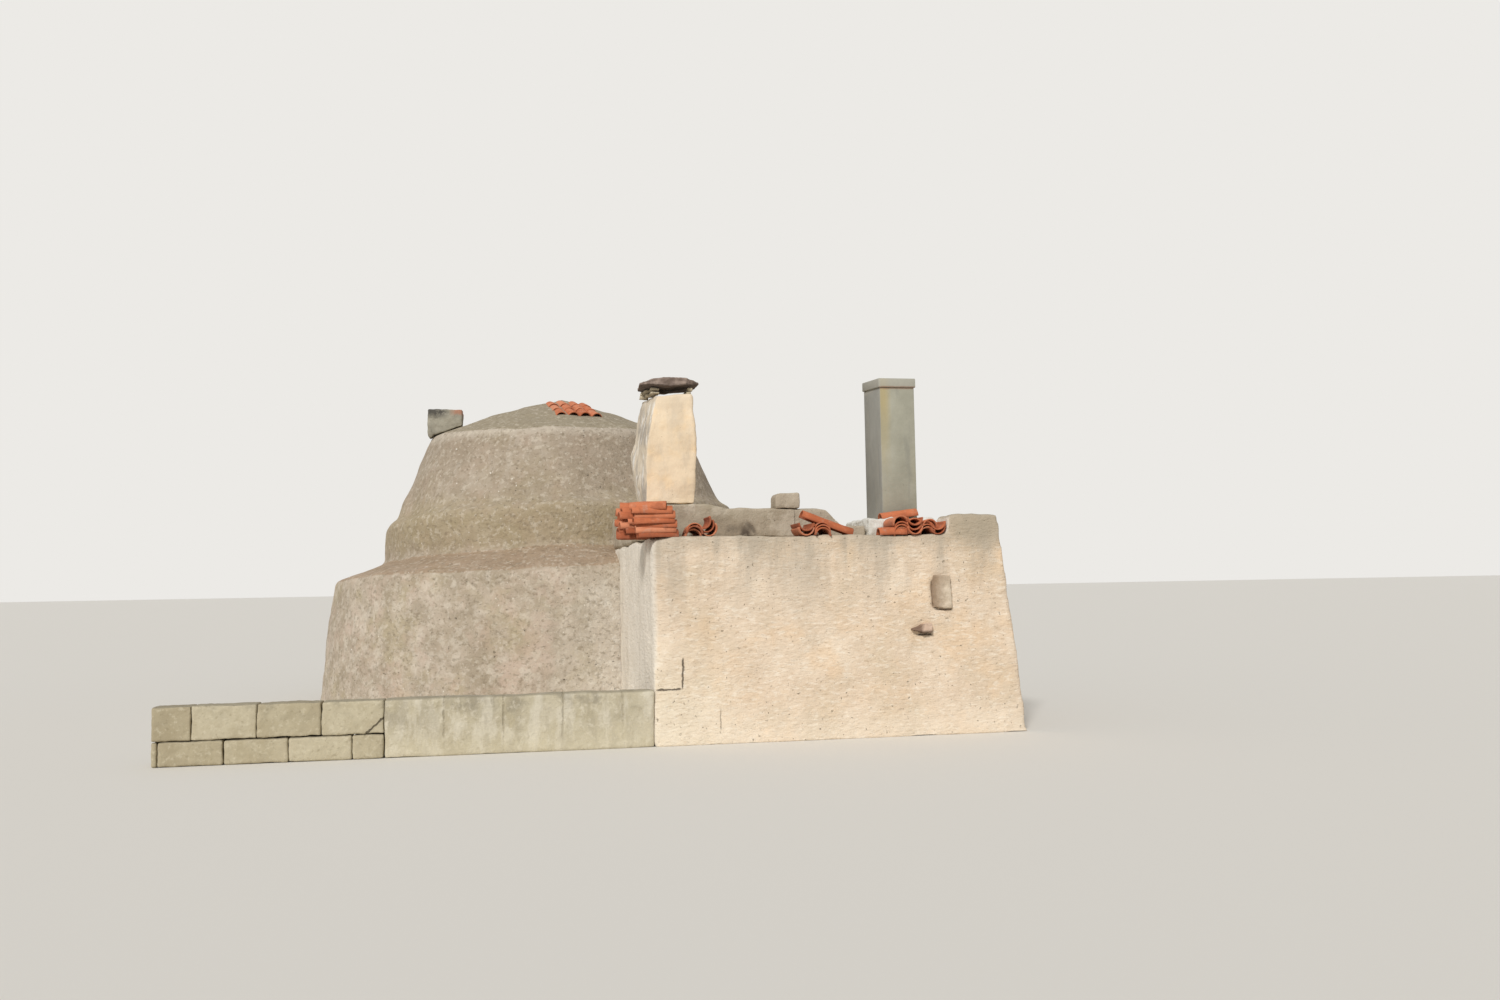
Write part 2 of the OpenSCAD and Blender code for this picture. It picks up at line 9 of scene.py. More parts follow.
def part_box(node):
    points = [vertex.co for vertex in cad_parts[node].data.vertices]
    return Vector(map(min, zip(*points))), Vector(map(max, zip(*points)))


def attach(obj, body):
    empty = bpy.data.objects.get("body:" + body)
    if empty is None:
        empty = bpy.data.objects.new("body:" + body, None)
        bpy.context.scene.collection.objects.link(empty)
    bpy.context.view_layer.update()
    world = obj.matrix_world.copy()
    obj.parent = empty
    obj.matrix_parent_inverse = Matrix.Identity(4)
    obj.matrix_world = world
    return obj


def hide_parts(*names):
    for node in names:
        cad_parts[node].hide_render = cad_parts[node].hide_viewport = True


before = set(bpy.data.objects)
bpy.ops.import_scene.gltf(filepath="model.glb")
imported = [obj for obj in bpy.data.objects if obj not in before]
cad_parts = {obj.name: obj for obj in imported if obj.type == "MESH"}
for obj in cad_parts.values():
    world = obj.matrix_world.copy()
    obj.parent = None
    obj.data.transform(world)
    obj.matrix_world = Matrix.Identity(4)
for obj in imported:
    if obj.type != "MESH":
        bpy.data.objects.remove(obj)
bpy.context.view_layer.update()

scene = bpy.context.scene


def linked(name, data):     # a new object in the scene
    made = bpy.data.objects.new(name, data)
    scene.collection.objects.link(made)
    return made


def turned(degrees, axis, size=4):
    return Matrix.Rotation(math.radians(degrees), size, axis)


# Where the photograph was taken from: metres and degrees
camera = {"place": (-0.648, -19.728, 1.69), "turn": 10.8, "tilt": 4.05, "roll": 1.0, "lens": 28.8, "sensor": 36.0}
lens = bpy.data.cameras.new("viewCamera")
lens.lens = camera["lens"]
lens.sensor_width = camera["sensor"]
viewCamera = linked("viewCamera", lens)
viewCamera.matrix_world = (Matrix.Translation(camera["place"]) @ turned(-camera["turn"], "Z")
                           @ turned(90 + camera["tilt"], "X") @ turned(-camera["roll"], "Z"))
scene.camera = viewCamera
print("camera set")

# Sizes that several pieces share, read from the frame
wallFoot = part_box("kitchen_front_wall")[0].y
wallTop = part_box("kitchen_front_wall")[1].z
frontLean = 0.06        # lean of the front wall's face over its height
shelfFront = wallFoot + frontLean
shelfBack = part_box("flat_roof")[0].y
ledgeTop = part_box("ledge")[1].z
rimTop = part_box("upper_cone")[1].z
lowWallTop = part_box("low_wall_rendered")[1].z
cornerLow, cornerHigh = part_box("corner_stone")
largeLow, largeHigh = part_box("large_wall_stone")
smallLow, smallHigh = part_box("small_wall_stone")
slimLow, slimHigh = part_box("slim_chimney")


# Materials

def sceneColour(code):      # a hex colour as scene values
    channels = [int(code[i:i + 2], 16) / 255 for i in (1, 3, 5)]
    return [c / 12.92 if c <= 0.04045 else ((c + 0.055) / 1.055) ** 2.4 for c in channels] + [1.0]


def addNode(tree, kind, sockets=None, **settings):      # a node given for a socket stands for its first output
    made = tree.nodes.new(kind)
    for key, value in settings.items():
        setattr(made, key, value)
    for key, value in (sockets or {}).items():
        if isinstance(value, bpy.types.Node):
            value = value.outputs[0]
        if isinstance(value, bpy.types.NodeSocket):
            tree.links.new(value, made.inputs[key])
        else:
            made.inputs[key].default_value = value
    return made


# Each layer of a material has a noise pattern. Sizes, heights and widths are in millimetres. A layer lies where its
# pattern is within its cut, and in ranges along an axis or of the way a face looks: (which, none at, all at, wobble)

def wash(colour, amount, size, detail=4, **extent):
    return {"colour": colour, "amount": amount, "size": size, "detail": detail, **extent}


def lumps(height, size, detail=4, **extent):
    return {"height": height, "amount": 1, "size": size, "detail": detail, **extent}


def darkLine(line, width, wobble, colour, amount, where, size=60, **extent):      # a dark line over a groove, for cracks and joints and for painted shadow at a stone's edge
    return {"line": line, "width": width, "wobble": wobble, "colour": colour, "amount": amount, "where": where,
            "size": size, "detail": 4, "height": -12, **extent}


def masonry(name, look):        # patches of the base colours, and the layers over them in the order given
    material = bpy.data.materials.new(name)
    material.use_nodes = True
    tree = material.node_tree
    shader = tree.nodes["Principled BSDF"]
    place = addNode(tree, "ShaderNodeTexCoord").outputs["Object"]
    axes = addNode(tree, "ShaderNodeSeparateXYZ", {0: place}).outputs
    normal = addNode(tree, "ShaderNodeNewGeometry").outputs["Normal"]
    facing = addNode(tree, "ShaderNodeSeparateXYZ", {0: normal}).outputs
    along = {"X": axes["X"], "Y": axes["Y"], "Z": axes["Z"],
             "right": facing["X"], "back": facing["Y"], "up": facing["Z"]}
    base = addNode(tree, "ShaderNodeTexNoise",
                   {"Vector": place, "Scale": 1000 / look["patch"], "Detail": 6, "Roughness": 0.6})
    if "tone" in look:       # each stone or tile has its own tone
        tone = addNode(tree, "ShaderNodeAttribute", attribute_name="tone").outputs["Fac"]
        own = addNode(tree, "ShaderNodeMath", {0: tone, 1: look["tone"]}, operation="MULTIPLY")
        base = addNode(tree, "ShaderNodeMath", {0: base, 1: 1 - look["tone"], 2: own}, operation="MULTIPLY_ADD")
    ramp = addNode(tree, "ShaderNodeValToRGB", {0: base})
    while len(ramp.color_ramp.elements) < len(look["colours"]):
        ramp.color_ramp.elements.new(0.5)
    for element, (position, code) in zip(ramp.color_ramp.elements, look["colours"]):
        element.position = position
        element.color = sceneColour(code)
    colour, height = ramp.outputs["Color"], 0.0
    for layer in look["layers"]:
        scale = [1000 / layer["size"] * share for share in layer.get("stretch", (1, 1, 1))]
        spot = addNode(tree, "ShaderNodeMapping", {"Vector": place, "Scale": scale})
        pattern = addNode(tree, "ShaderNodeTexNoise",
                          {"Vector": spot, "Scale": 1.0, "Detail": layer["detail"], "Roughness": 0.6})
        ranges = [(pattern, *layer["cut"])] if "cut" in layer else []
        for key, low, high, wobble in layer.get("where", []):
            value = addNode(tree, "ShaderNodeMath", {0: pattern, 1: wobble, 2: along[key]}, operation="MULTIPLY_ADD")
            ranges.append((value, low + wobble / 2, high + wobble / 2))
        if "line" in layer:     # the line runs where x * X + z * Z is at
            x, z, at = layer["line"]
            line = addNode(tree, "ShaderNodeVectorMath", {0: place, 1: (x, 0, z)}, operation="DOT_PRODUCT")
            line = addNode(tree, "ShaderNodeMath", {0: pattern, 1: layer["wobble"], 2: line.outputs["Value"]},
                           operation="MULTIPLY_ADD")
            away = addNode(tree, "ShaderNodeMath", {0: line, 1: at + layer["wobble"] / 2}, operation="SUBTRACT")
            away = addNode(tree, "ShaderNodeMath", {0: away}, operation="ABSOLUTE")
            ranges.append((away, layer["width"] / 1000, layer["width"] / 3000))
        amount = layer["amount"] if ranges else pattern
        for value, low, high in ranges:
            part = addNode(tree, "ShaderNodeMapRange", {"Value": value, "From Min": low, "From Max": high})
            amount = addNode(tree, "ShaderNodeMath", {0: part, 1: amount}, operation="MULTIPLY")
        if "colour" in layer:
            painted = addNode(tree, "ShaderNodeMix", {0: amount, 6: colour, 7: sceneColour(layer["colour"])},
                              data_type="RGBA")
            colour = painted.outputs[2]
        if "height" in layer:
            height = addNode(tree, "ShaderNodeMath", {0: amount, 1: layer["height"] / 1000, 2: height},
                             operation="MULTIPLY_ADD")
    bump = addNode(tree, "ShaderNodeBump", {"Height": height, "Distance": 1.0, "Strength": 1.0})
    tree.links.new(bump.outputs[0], shader.inputs["Normal"])
    tree.links.new(colour, shader.inputs["Base Color"])
    shader.inputs["Roughness"].default_value = look["roughness"]
    shader.inputs["IOR"].default_value = look["ior"]
    return material


# Lime and cement render, thrown on rubble and floated by hand: dull and rough, in patches of 0.3 to 0.9 m where a
# batch ended, with pits of 45 mm and rain's streaks. Its 1 to 2 mm sand is too fine to show and drawn at 18 mm.
floatedRender = masonry("floatedRender", {
    "patch": 900, "ior": 1.50, "roughness": 0.95,
    "colours": [(0.30, "#a2937d"), (0.45, "#b2a38f"), (0.58, "#bdae9b"), (0.72, "#c8baa7")],
    "layers": [
        wash("#a3956f", 0.45, 800, cut=(0.50, 0.62)),
        wash("#c2aa98", 0.45, 420, 9, cut=(0.49, 0.61)),
        wash("#93856f", 0.46, 300, 10, cut=(0.48, 0.59)),
        wash("#d4c9b8", 0.42, 160, 10, cut=(0.51, 0.62)),
        # whitish where the kitchen joins
        wash("#c9c1b3", 0.50, 500, 8, where=[("X", -0.6, 0.5, 0.9), ("Y", -2.2, -2.9, 0.4), ("Z", 2.0, 1.7, 0.6)]),
        wash("#ddd6c9", 0.5, 150, 9, cut=(0.51, 0.59),
             where=[("X", 0.0, 0.5, 0.4), ("Y", -2.2, -2.9, 0.4), ("Z", 1.9, 1.6, 0.6)]),
        wash("#8f8170", 0.50, 900, stretch=(1, 1, 0.12), cut=(0.42, 0.60), where=[("Z", ledgeTop, rimTop, 0)]),
        wash("#d3c9ba", 0.6, 200, 8, stretch=(1, 1, 0.3), cut=(0.52, 0.60),
             where=[("Z", 2.9, 3.6, 0.6), ("X", 0.2, -0.5, 0.5)]),
        wash("#93836c", 0.46, 400, where=[("Z", 1.9, 2.3, 0.5)]),
        wash("#a3936f", 0.40, 260, 8, where=[("Z", 2.2, 2.4, 0.5), ("Z", 3.1, 2.8, 0.6)]),      # the drum's yellow band
        wash("#9a8a79", 0.30, 400, where=[("Z", 3.0, 3.7, 0.9)]),
        wash("#9b8065", 0.60, 260, 8, where=[("up", 0.62, 0.74, 0.2), ("Z", 2.6, 2.3, 0.2)]),    # the ledge
        wash("#cabfae", 0.5, 120, 6, where=[("Z", rimTop - 0.16, rimTop - 0.05, 0.15)]),    # painted highlight along the rim's edge
        wash("#93876f", 0.85, 260, 8, where=[("up", 0.72, 0.80, 0.15), ("Z", 3.8, 4.0, 0.1)]),      # the roof
        wash("#8a7d6e", 0.5, 260, 7, cut=(0.46, 0.60), where=[("X", 1.2, 2.4, 0.5)]),
        wash("#d5cab7", 0.38, 75, 7, cut=(0.53, 0.62)),
        wash("#7a6c57", 0.46, 65, 7, stretch=(1, 1, 1.3), cut=(0.54, 0.63)),
        wash("#e8e1d3", 0.85, 50, 2, cut=(0.71, 0.76)),
        wash("#655843", 0.8, 45, 3, stretch=(1, 1, 1.7), cut=(0.68, 0.75)),
        lumps(34, 190, 6), lumps(20, 60, 5), lumps(3, 18), lumps(-14, 45, 3, stretch=(1, 1, 1.7), cut=(0.68, 0.75))]})

# Limewash brushed over rough thrown render: matt cream in level strokes 40 mm high and 80 mm long, grey where rain
# runs down from the top. The wash's brush hairs and 2 mm sand are too fine to show and drawn at 18 mm.
onFront = ("Y", -6.5, -6.6, 0)      # on the front wall alone
onTop = ("up", 0.4, 0.9, 0.3)
limewashedRender = masonry("limewashedRender", {
    "patch": 700, "ior": 1.50, "roughness": 0.93,
    "colours": [(0.32, "#d4c0a5"), (0.50, "#ddc8af"), (0.66, "#e5d2ba")],
    "layers": [
        wash("#e6c49c", 0.40, 420, cut=(0.50, 0.68)),
        wash("#cab9a1", 0.35, 380, 6, cut=(0.50, 0.70)),
        wash("#e9dfc6", 0.40, 600, where=[("X", 1.9, 0.9, 0.8), ("Z", 1.3, 0.6, 0.5)]),
        wash("#f1e6d4", 0.45, 45, 6, stretch=(0.5, 0.5, 1.5), cut=(0.53, 0.63)),
        wash("#bba080", 0.45, 38, 6, stretch=(0.5, 0.5, 1.7), cut=(0.56, 0.66)),
        wash("#b0a492", 0.75, 520, stretch=(1.6, 1.6, 0.22), cut=(0.42, 0.60),
             where=[("Z", wallTop - 0.85, wallTop - 0.05, 0.8)]),
        wash("#aa9e8b", 0.55, 300, 6, where=[("Z", wallTop - 0.22, wallTop, 0.3)]),
        wash("#a89a83", 0.65, 260, 6, where=[("X", 4.0, 4.2, 0.5), ("Z", wallTop - 0.25, wallTop + 0.05, 0.5)]),
        # painted light: the left faces made lighter, standing in for light bounced off the round house
        wash("#ece3d4", 0.85, 260, 5, where=[("right", -0.45, -0.98, 0)]),
        wash("#b9ab96", 0.35, 500, stretch=(1, 2, 0.25), cut=(0.5, 0.62), where=[("right", -0.35, -0.75, 0)]),
        wash("#f0e4cf", 0.35, 300, where=[("Z", 0.45, 0.10, 0.5)]),
        wash("#a99c87", 0.75, 260, 6, where=[onTop]),
        wash("#85745c", 0.7, 34, 2, cut=(0.69, 0.75)),
        lumps(14, 150), lumps(18, 42, stretch=(0.55, 0.55, 1.3)), lumps(3, 18), lumps(-8, 34, 2, cut=(0.69, 0.75)),
        # two sides of the corner stone and an old joint; painted shadow along the large stone's right and bottom and
        # under the small stone
        darkLine((1, -0.05, cornerHigh.x - 0.025), 14, 0.05, "#4d4030", 0.85,
              [("Z", 0.58, 0.62, 0), ("Z", 0.935, 0.90, 0), onFront]),
        darkLine((0, 1, cornerLow.z + 0.002), 12, 0.03, "#4d4030", 0.85,
              [("X", 0.74, 0.77, 0.02), ("X", 1.02, 1.0, 0.02), onFront]),
        darkLine((1, 0, 1.436), 7, 0.04, "#6c5d48", 0.45, [("Z", 0.13, 0.17, 0), ("Z", 0.40, 0.33, 0), onFront]),
        # painted shadow cast by the large stone, at its right and bottom
        darkLine((1, 0, largeHigh.x + 0.004), 12, 0.02, "#5a4632", 0.85,
              [("Z", largeLow.z - 0.01, largeLow.z + 0.02, 0), ("Z", largeHigh.z, largeHigh.z - 0.06, 0), onFront]),
        darkLine((0, 1, largeLow.z - 0.004), 12, 0.02, "#5a4632", 0.85,
              [("X", largeLow.x + 0.02, largeLow.x + 0.06, 0), ("X", largeHigh.x + 0.02, largeHigh.x, 0), onFront]),
        # painted shadow under the small stone
        darkLine((0, 1, smallLow.z + 0.004), 16, 0.02, "#4a3828", 0.9,
              [("X", smallLow.x - 0.01, smallLow.x + 0.03, 0), ("X", smallHigh.x + 0.02, smallHigh.x - 0.01, 0),
               onFront])]})

# Lime render rubbed on thinly with a board: flat and chalky, the blocks' joints show through it every 0.61 m, and
# algae stains its top. Its 1 mm sand is too fine to show and drawn at 10 mm.
rubbedRender = masonry("rubbedRender", {
    "patch": 500, "ior": 1.50, "roughness": 0.94,
    "colours": [(0.32, "#b1a68d"), (0.50, "#bcb299"), (0.66, "#c6bca5")],
    "layers": [
        wash("#b1a483", 0.40, 300, 6, cut=(0.48, 0.66)),
        wash("#8f8674", 0.75, 260, 6, cut=(0.47, 0.60), where=[("Z", lowWallTop - 0.30, lowWallTop - 0.02, 0.35)]),
        wash("#dad2c0", 0.45, 300, 8, stretch=(1.6, 1, 0.5), cut=(0.51, 0.60)),
        wash("#a09680", 0.40, 260, 8, stretch=(1.6, 1, 0.4), cut=(0.53, 0.61)),
        wash("#d9d0bb", 0.45, 60, cut=(0.54, 0.66)),
        wash("#9c8f74", 0.40, 50, cut=(0.56, 0.70)),
        wash("#8f8671", 0.6, 200, 5, where=[onTop]),
        wash("#d6cbae", 0.35, 200, 5, where=[("Z", 0.30, 0.05, 0.3)]),
        lumps(10, 120, 5), lumps(6, 30), lumps(1.2, 10),
        *[darkLine((1, 0, x), 14, 0.05, "#80755f", amount, [("Z", 0.0, 0.35, 0.3)], size=140, cut=(0.40, 0.50))
          for x, amount in ((-1.44, 0.5), (-0.84, 0.45), (-0.23, 0.4), (0.39, 0.3))]]})

# Cement render floated by hand over the roofs: grey-brown and dull, stained dark where water stands and runs off,
# with lichen spots of 36 mm. Its 2 mm grit is too fine to show and drawn at 12 mm.
onRoofFront = ("Y", -6.2, -6.28, 0)
floatedCement = masonry("floatedCement", {
    "patch": 600, "ior": 1.52, "roughness": 0.95,
    "colours": [(0.32, "#9e917b"), (0.50, "#b0a38e"), (0.68, "#c0b39e")],
    "layers": [
        wash("#8f806b", 0.5, 300, 8, cut=(0.48, 0.60)),
        wash("#cfc3b0", 0.4, 200, 8, cut=(0.54, 0.62)),
        wash("#b8aa96", 0.5, 320, where=[("X", 2.25, 2.6, 0.3)]),
        wash("#94836f", 0.45, 500, 6, where=[("X", 1.2, 1.6, 0.5), ("X", 2.3, 2.0, 0.5), ("Z", 2.50, 2.40, 0.1)]),
        wash("#4b4036", 0.85, 120, where=[("X", 1.76, 1.82, 0.05), ("X", 1.93, 1.88, 0.05), ("Z", 2.42, 2.30, 0.1)]),
        wash("#6b6053", 0.55, 70, 6, cut=(0.42, 0.58),
             where=[("X", 1.60, 1.66, 0.06), ("X", 1.80, 1.75, 0.04), ("Z", 2.40, 2.34, 0.04), onRoofFront]),
        wash("#b9ab97", 0.45, 200, where=[("Z", 2.57, 2.60, 0.02), ("X", 2.1, 2.2, 0.05)]),
        wash("#c3b7a4", 0.4, 90, cut=(0.56, 0.70)),
        wash("#64574a", 0.6, 36, cut=(0.64, 0.72)),
        lumps(22, 160, 5), lumps(9, 36), lumps(2, 12),
        darkLine((1, 0, 2.43), 8, 0.03, "#7d6f60", 0.45, [onRoofFront, ("Z", 2.55, 2.50, 0)]),
        darkLine((0.75, 0.66, 2.985), 34, 0.03, "#4b4036", 0.6,
              [onRoofFront, ("X", 1.78, 1.82, 0), ("X", 1.99, 1.95, 0), ("Z", 2.43, 2.35, 0.04)])]})

# Cement render trowelled in broad strokes of 170 mm and limewashed: almost smooth, warm in front, and on its left
# greyer, partly in paint and partly as painted shade, with dark and whiter streaks. Its 1 mm sand is too fine to show
# and drawn at 14 mm.
onLeft = ("right", -0.25, -0.65, 0.3)
trowelledRender = masonry("trowelledRender", {
    "patch": 500, "ior": 1.50, "roughness": 0.92,
    "colours": [(0.30, "#e0caab"), (0.52, "#e9d3b4"), (0.70, "#efdcc0")],
    "layers": [
        wash("#ebc795", 0.45, 260, cut=(0.50, 0.68)),
        wash("#c8baa5", 0.45, 300, stretch=(1.5, 1.5, 0.4), cut=(0.50, 0.66)),
        # partly painted shade: the left faces greyer, over a greyer wash there
        wash("#c7bba8", 0.75, 200, 6, where=[onLeft]),
        wash("#968e84", 0.7, 110, stretch=(1, 1, 0.2), cut=(0.49, 0.57), where=[onLeft]),
        wash("#e9e3d9", 0.7, 90, stretch=(1, 1, 0.25), cut=(0.54, 0.62), where=[onLeft]),
        wash("#d6c9b5", 0.35, 200, 6, where=[("Z", 3.70, 3.88, 0.3)]),
        wash("#93846c", 0.6, 30, cut=(0.67, 0.75)),
        lumps(14, 170, stretch=(1, 1, 0.6)), lumps(6, 50), lumps(1.5, 14)]})

# Cement cast in a mould: flat even grey with straight arrises, a yellow-brown streak down from the cap's corner and
# a rusty line under it. Its 1 mm sand is too fine to show and drawn at 9 mm.
onSlimFront = ("back", -0.4, -0.7, 0)
castCement = masonry("castCement", {
    "patch": 450, "ior": 1.52, "roughness": 0.90,
    "colours": [(0.34, "#939080"), (0.52, "#9f9c8b"), (0.68, "#aaa797")],
    "layers": [
        wash("#b3a98b", 0.35, 500, stretch=(3, 3, 0.3), cut=(0.50, 0.66)),
        wash("#a8945f", 0.6, 200, stretch=(2, 2, 0.3),
             where=[("X", slimLow.x, slimLow.x + 0.01, 0), ("X", slimLow.x + 0.14, slimLow.x + 0.06, 0.08),
                    ("Z", 2.9, 3.8, 0.8), onSlimFront]),
        wash("#7f7d74", 0.45, 300, stretch=(2, 2, 0.3), cut=(0.54, 0.68)),
        # painted shade: the left faces made greyer and darker
        wash("#8c8b8e", 0.40, 200, where=[("right", -0.3, -0.7, 0)]),
        wash("#aba79a", 0.7, 160, 5, where=[("Z", 3.985, 4.0, 0.02)]),
        wash("#8a6650", 0.8, 120, 5, where=[("Z", 3.97, 3.99, 0.03), ("Z", 4.015, 4.0, 0.03), onSlimFront]),
        wash("#6c6a60", 0.5, 26, cut=(0.66, 0.74)),
        lumps(5, 90), lumps(2.5, 22), lumps(0.8, 9)]})

# Lime mortar heaped with a trowel: near white and matt, lumpy at 70 mm, crumbling at its edge. Its 2 mm sand is too
# fine to show and drawn at 20 mm.
heapedMortar = masonry("heapedMortar", {
    "patch": 220, "ior": 1.50, "roughness": 0.95,
    "colours": [(0.32, "#cac6bc"), (0.52, "#dad7cd"), (0.70, "#e5e3db")],
    "layers": [
        wash("#b3ab9c", 0.45, 90, cut=(0.54, 0.68)),
        wash("#8b8273", 0.5, 36, cut=(0.62, 0.72)),
        lumps(18, 70, 5), lumps(5, 20)]})

# Limestone split with a hammer: warm grey, uneven at 80 mm, pitted at 26 mm, with dirt and lichen in its hollows. Its
# 1 mm grain is too fine to show and drawn at 9 mm.
splitLimestone = masonry("splitLimestone", {
    "patch": 240, "ior": 1.55, "roughness": 0.92, "tone": 0.35,
    "colours": [(0.28, "#a39479"), (0.46, "#b6a98f"), (0.62, "#c5b89e")],
    "layers": [
        wash("#988a72", 0.5, 160, 7, cut=(0.50, 0.66)),
        wash("#a9a593", 0.35, 300, cut=(0.52, 0.68)),
        wash("#8a7e6b", 0.4, 220, where=[("up", 0.5, 0.95, 0.4)]),
        wash("#6f6450", 0.7, 26, cut=(0.62, 0.72)),
        lumps(12, 80, 5), lumps(5, 26), lumps(-7, 26, cut=(0.62, 0.72)), lumps(1.2, 9)]})

# Split limestone under old limewash: creamy and chalky in front, with painted shade on the large stone's top and
# on its left, where it runs back into the wall, and on the small stone's left and underside. Its 1 mm
# grain is too fine to show and drawn at 10 mm.
onSmall = ("Z", smallHigh.z + 0.04, smallHigh.z, 0)
onLarge = ("Z", largeLow.z - 0.05, largeLow.z, 0)
limewashedLimestone = masonry("limewashedLimestone", {
    "patch": 160, "ior": 1.55, "roughness": 0.92,
    "colours": [(0.30, "#c3b199"), (0.48, "#d1c0a9"), (0.66, "#ddcdb7")],
    "layers": [
        wash("#ad9a82", 0.4, 90, 6, cut=(0.48, 0.60)),
        # painted shade on the large stone's top and on its left, where it runs back into the wall
        wash("#a08b73", 0.4, 90, where=[("Z", largeHigh.z - 0.12, largeHigh.z, 0.05)]),
        wash("#7f664e", 0.75, 60, where=[("X", largeLow.x + 0.15, largeLow.x + 0.03, 0.06), onLarge]),
        wash("#c49f8a", 0.55, 80, where=[onSmall]),
        # painted shade on the small stone's left and underside
        wash("#6b5140", 0.85, 60, where=[("X", smallLow.x + 0.08, smallLow.x + 0.04, 0.04), onSmall]),
        wash("#55402f", 0.9, 60, where=[("Z", smallLow.z + 0.055, smallLow.z + 0.03, 0.03)]),
        wash("#85715a", 0.6, 26, cut=(0.62, 0.72)),
        lumps(12, 80, 5), lumps(6, 26), lumps(1, 10)]})

# Tufa, a soft shelly limestone, sawn in blocks: yellow-grey and flat with worn arrises, shell marks of 40 mm and grey
# lichen along its top. Its 1 mm grain is too fine to show and drawn at 10 mm.
sawnTufa = masonry("sawnTufa", {
    "patch": 320, "ior": 1.55, "roughness": 0.93, "tone": 0.45,
    "colours": [(0.30, "#a3967a"), (0.48, "#b0a488"), (0.64, "#bdb297")],
    "layers": [
        wash("#a5987a", 0.45, 240, 7, cut=(0.50, 0.64)),
        wash("#8f8772", 0.5, 200, 6, cut=(0.46, 0.62), where=[("Z", lowWallTop - 0.2, lowWallTop, 0.25)]),
        wash("#cfc5ab", 0.45, 48, cut=(0.56, 0.68)),
        wash("#8b7e63", 0.45, 40, 3, cut=(0.58, 0.70)),
        wash("#837a66", 0.6, 200, 5, where=[onTop]),
        lumps(9, 110, 5), lumps(5, 30), lumps(1, 10),
        darkLine((0.672, -0.741, -1.673), 13, 0.05, "#4d4232", 0.9,
              [("X", -2.23, -2.20, 0), ("Z", lowWallTop - 0.16, lowWallTop - 0.18, 0)])]})

# Limestone slab from the field, never dressed and long weathered: brown and layered at 25 mm, with painted shade
# making it almost black below. Its 1 mm grain is too fine to show and drawn at 18 mm.
weatheredLimestone = masonry("weatheredLimestone", {
    "patch": 160, "ior": 1.55, "roughness": 0.93,
    "colours": [(0.28, "#6c5b4d"), (0.46, "#857368"), (0.64, "#a18f84")],
    "layers": [
        wash("#b09c8b", 0.5, 120, 7, cut=(0.50, 0.60)),
        # painted shade on the faces turned down
        wash("#4d4037", 0.75, 90, where=[("up", 0.1, -0.4, 0.3)]),
        wash("#4a4038", 0.6, 40, cut=(0.56, 0.68)),
        lumps(14, 60, 5, stretch=(1, 1, 2.2)), lumps(4, 18)]})

# Lime plaster on a block of stone, with painted shade over its top at the left: grey and lumpy at 90 mm, with a
# broken tile's red at its corner. Its 1 mm sand is too fine to show and drawn at 26 mm.
plasterWithPaintedShade = masonry("plasterWithPaintedShade", {
    "patch": 200, "ior": 1.50, "roughness": 0.94,
    "colours": [(0.30, "#837d6f"), (0.48, "#969080"), (0.66, "#a69f8d")],
    "layers": [
        # painted shade over the block's top at the left
        wash("#4a4742", 0.9, 150, 6, where=[("Z", 4.36, 4.47, 0.20), ("X", -1.76, -1.86, 0.1)]),
        wash("#b07a60", 0.8, 90, 5, where=[("Z", 4.42, 4.47, 0.12), ("X", -1.76, -1.66, 0.1)]),
        wash("#b3ad9c", 0.4, 60, cut=(0.54, 0.66)),
        wash("#55504a", 0.6, 36, cut=(0.62, 0.72)),
        lumps(14, 90, 5), lumps(6, 26)]})

# Terracotta shaped by hand over a mould and fired: dull orange-red, each tile of its own tone, with paler bloom and
# scorching of 60 to 120 mm. The 1 mm grit that it is sanded with is too fine to show and drawn at 14 mm.
firedTerracotta = masonry("firedTerracotta", {
    "patch": 130, "ior": 1.54, "roughness": 0.86, "tone": 0.62,
    "colours": [(0.22, "#954c2a"), (0.46, "#b36038"), (0.66, "#c57148"), (0.80, "#cf8560")],
    "layers": [
        wash("#d29a7b", 0.30, 60, 6, cut=(0.54, 0.70)),
        wash("#84472c", 0.45, 90, 6, cut=(0.52, 0.68)),
        wash("#9d8f83", 0.35, 120, 6, cut=(0.58, 0.70)),
        # painted shade on the sides and undersides turned away from the sky
        wash("#83452b", 0.45, 60, where=[("up", 0.45, 0.05, 0.2)]),
        wash("#5f3d2c", 0.5, 18, cut=(0.64, 0.74)),
        lumps(4, 60), lumps(1.4, 14)]})
print("materials made")


# Shape helpers

def meshOf(name, bm):       # the bmesh becomes a mesh
    mesh = bpy.data.meshes.new(name)
    bm.to_mesh(mesh)
    bm.free()
    return mesh


def join(bm, part):         # adds one bmesh to another
    mesh = meshOf("part", part)
    bm.from_mesh(mesh)
    bpy.data.meshes.remove(mesh)


def cadCopy(*names):        # a merged copy of CAD nodes
    bm = bmesh.new()
    for name in names:
        part = bmesh.new()
        part.from_mesh(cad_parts[name].data)
        bmesh.ops.remove_doubles(part, verts=part.verts, dist=0.0001)
        join(bm, part)
    return bm


def boxOf(low, high):
    bm = bmesh.new()
    bmesh.ops.create_cube(bm, size=1)
    bmesh.ops.scale(bm, vec=Vector(high) - Vector(low), verts=bm.verts)
    bmesh.ops.translate(bm, vec=(Vector(high) + Vector(low)) / 2, verts=bm.verts)
    return bm


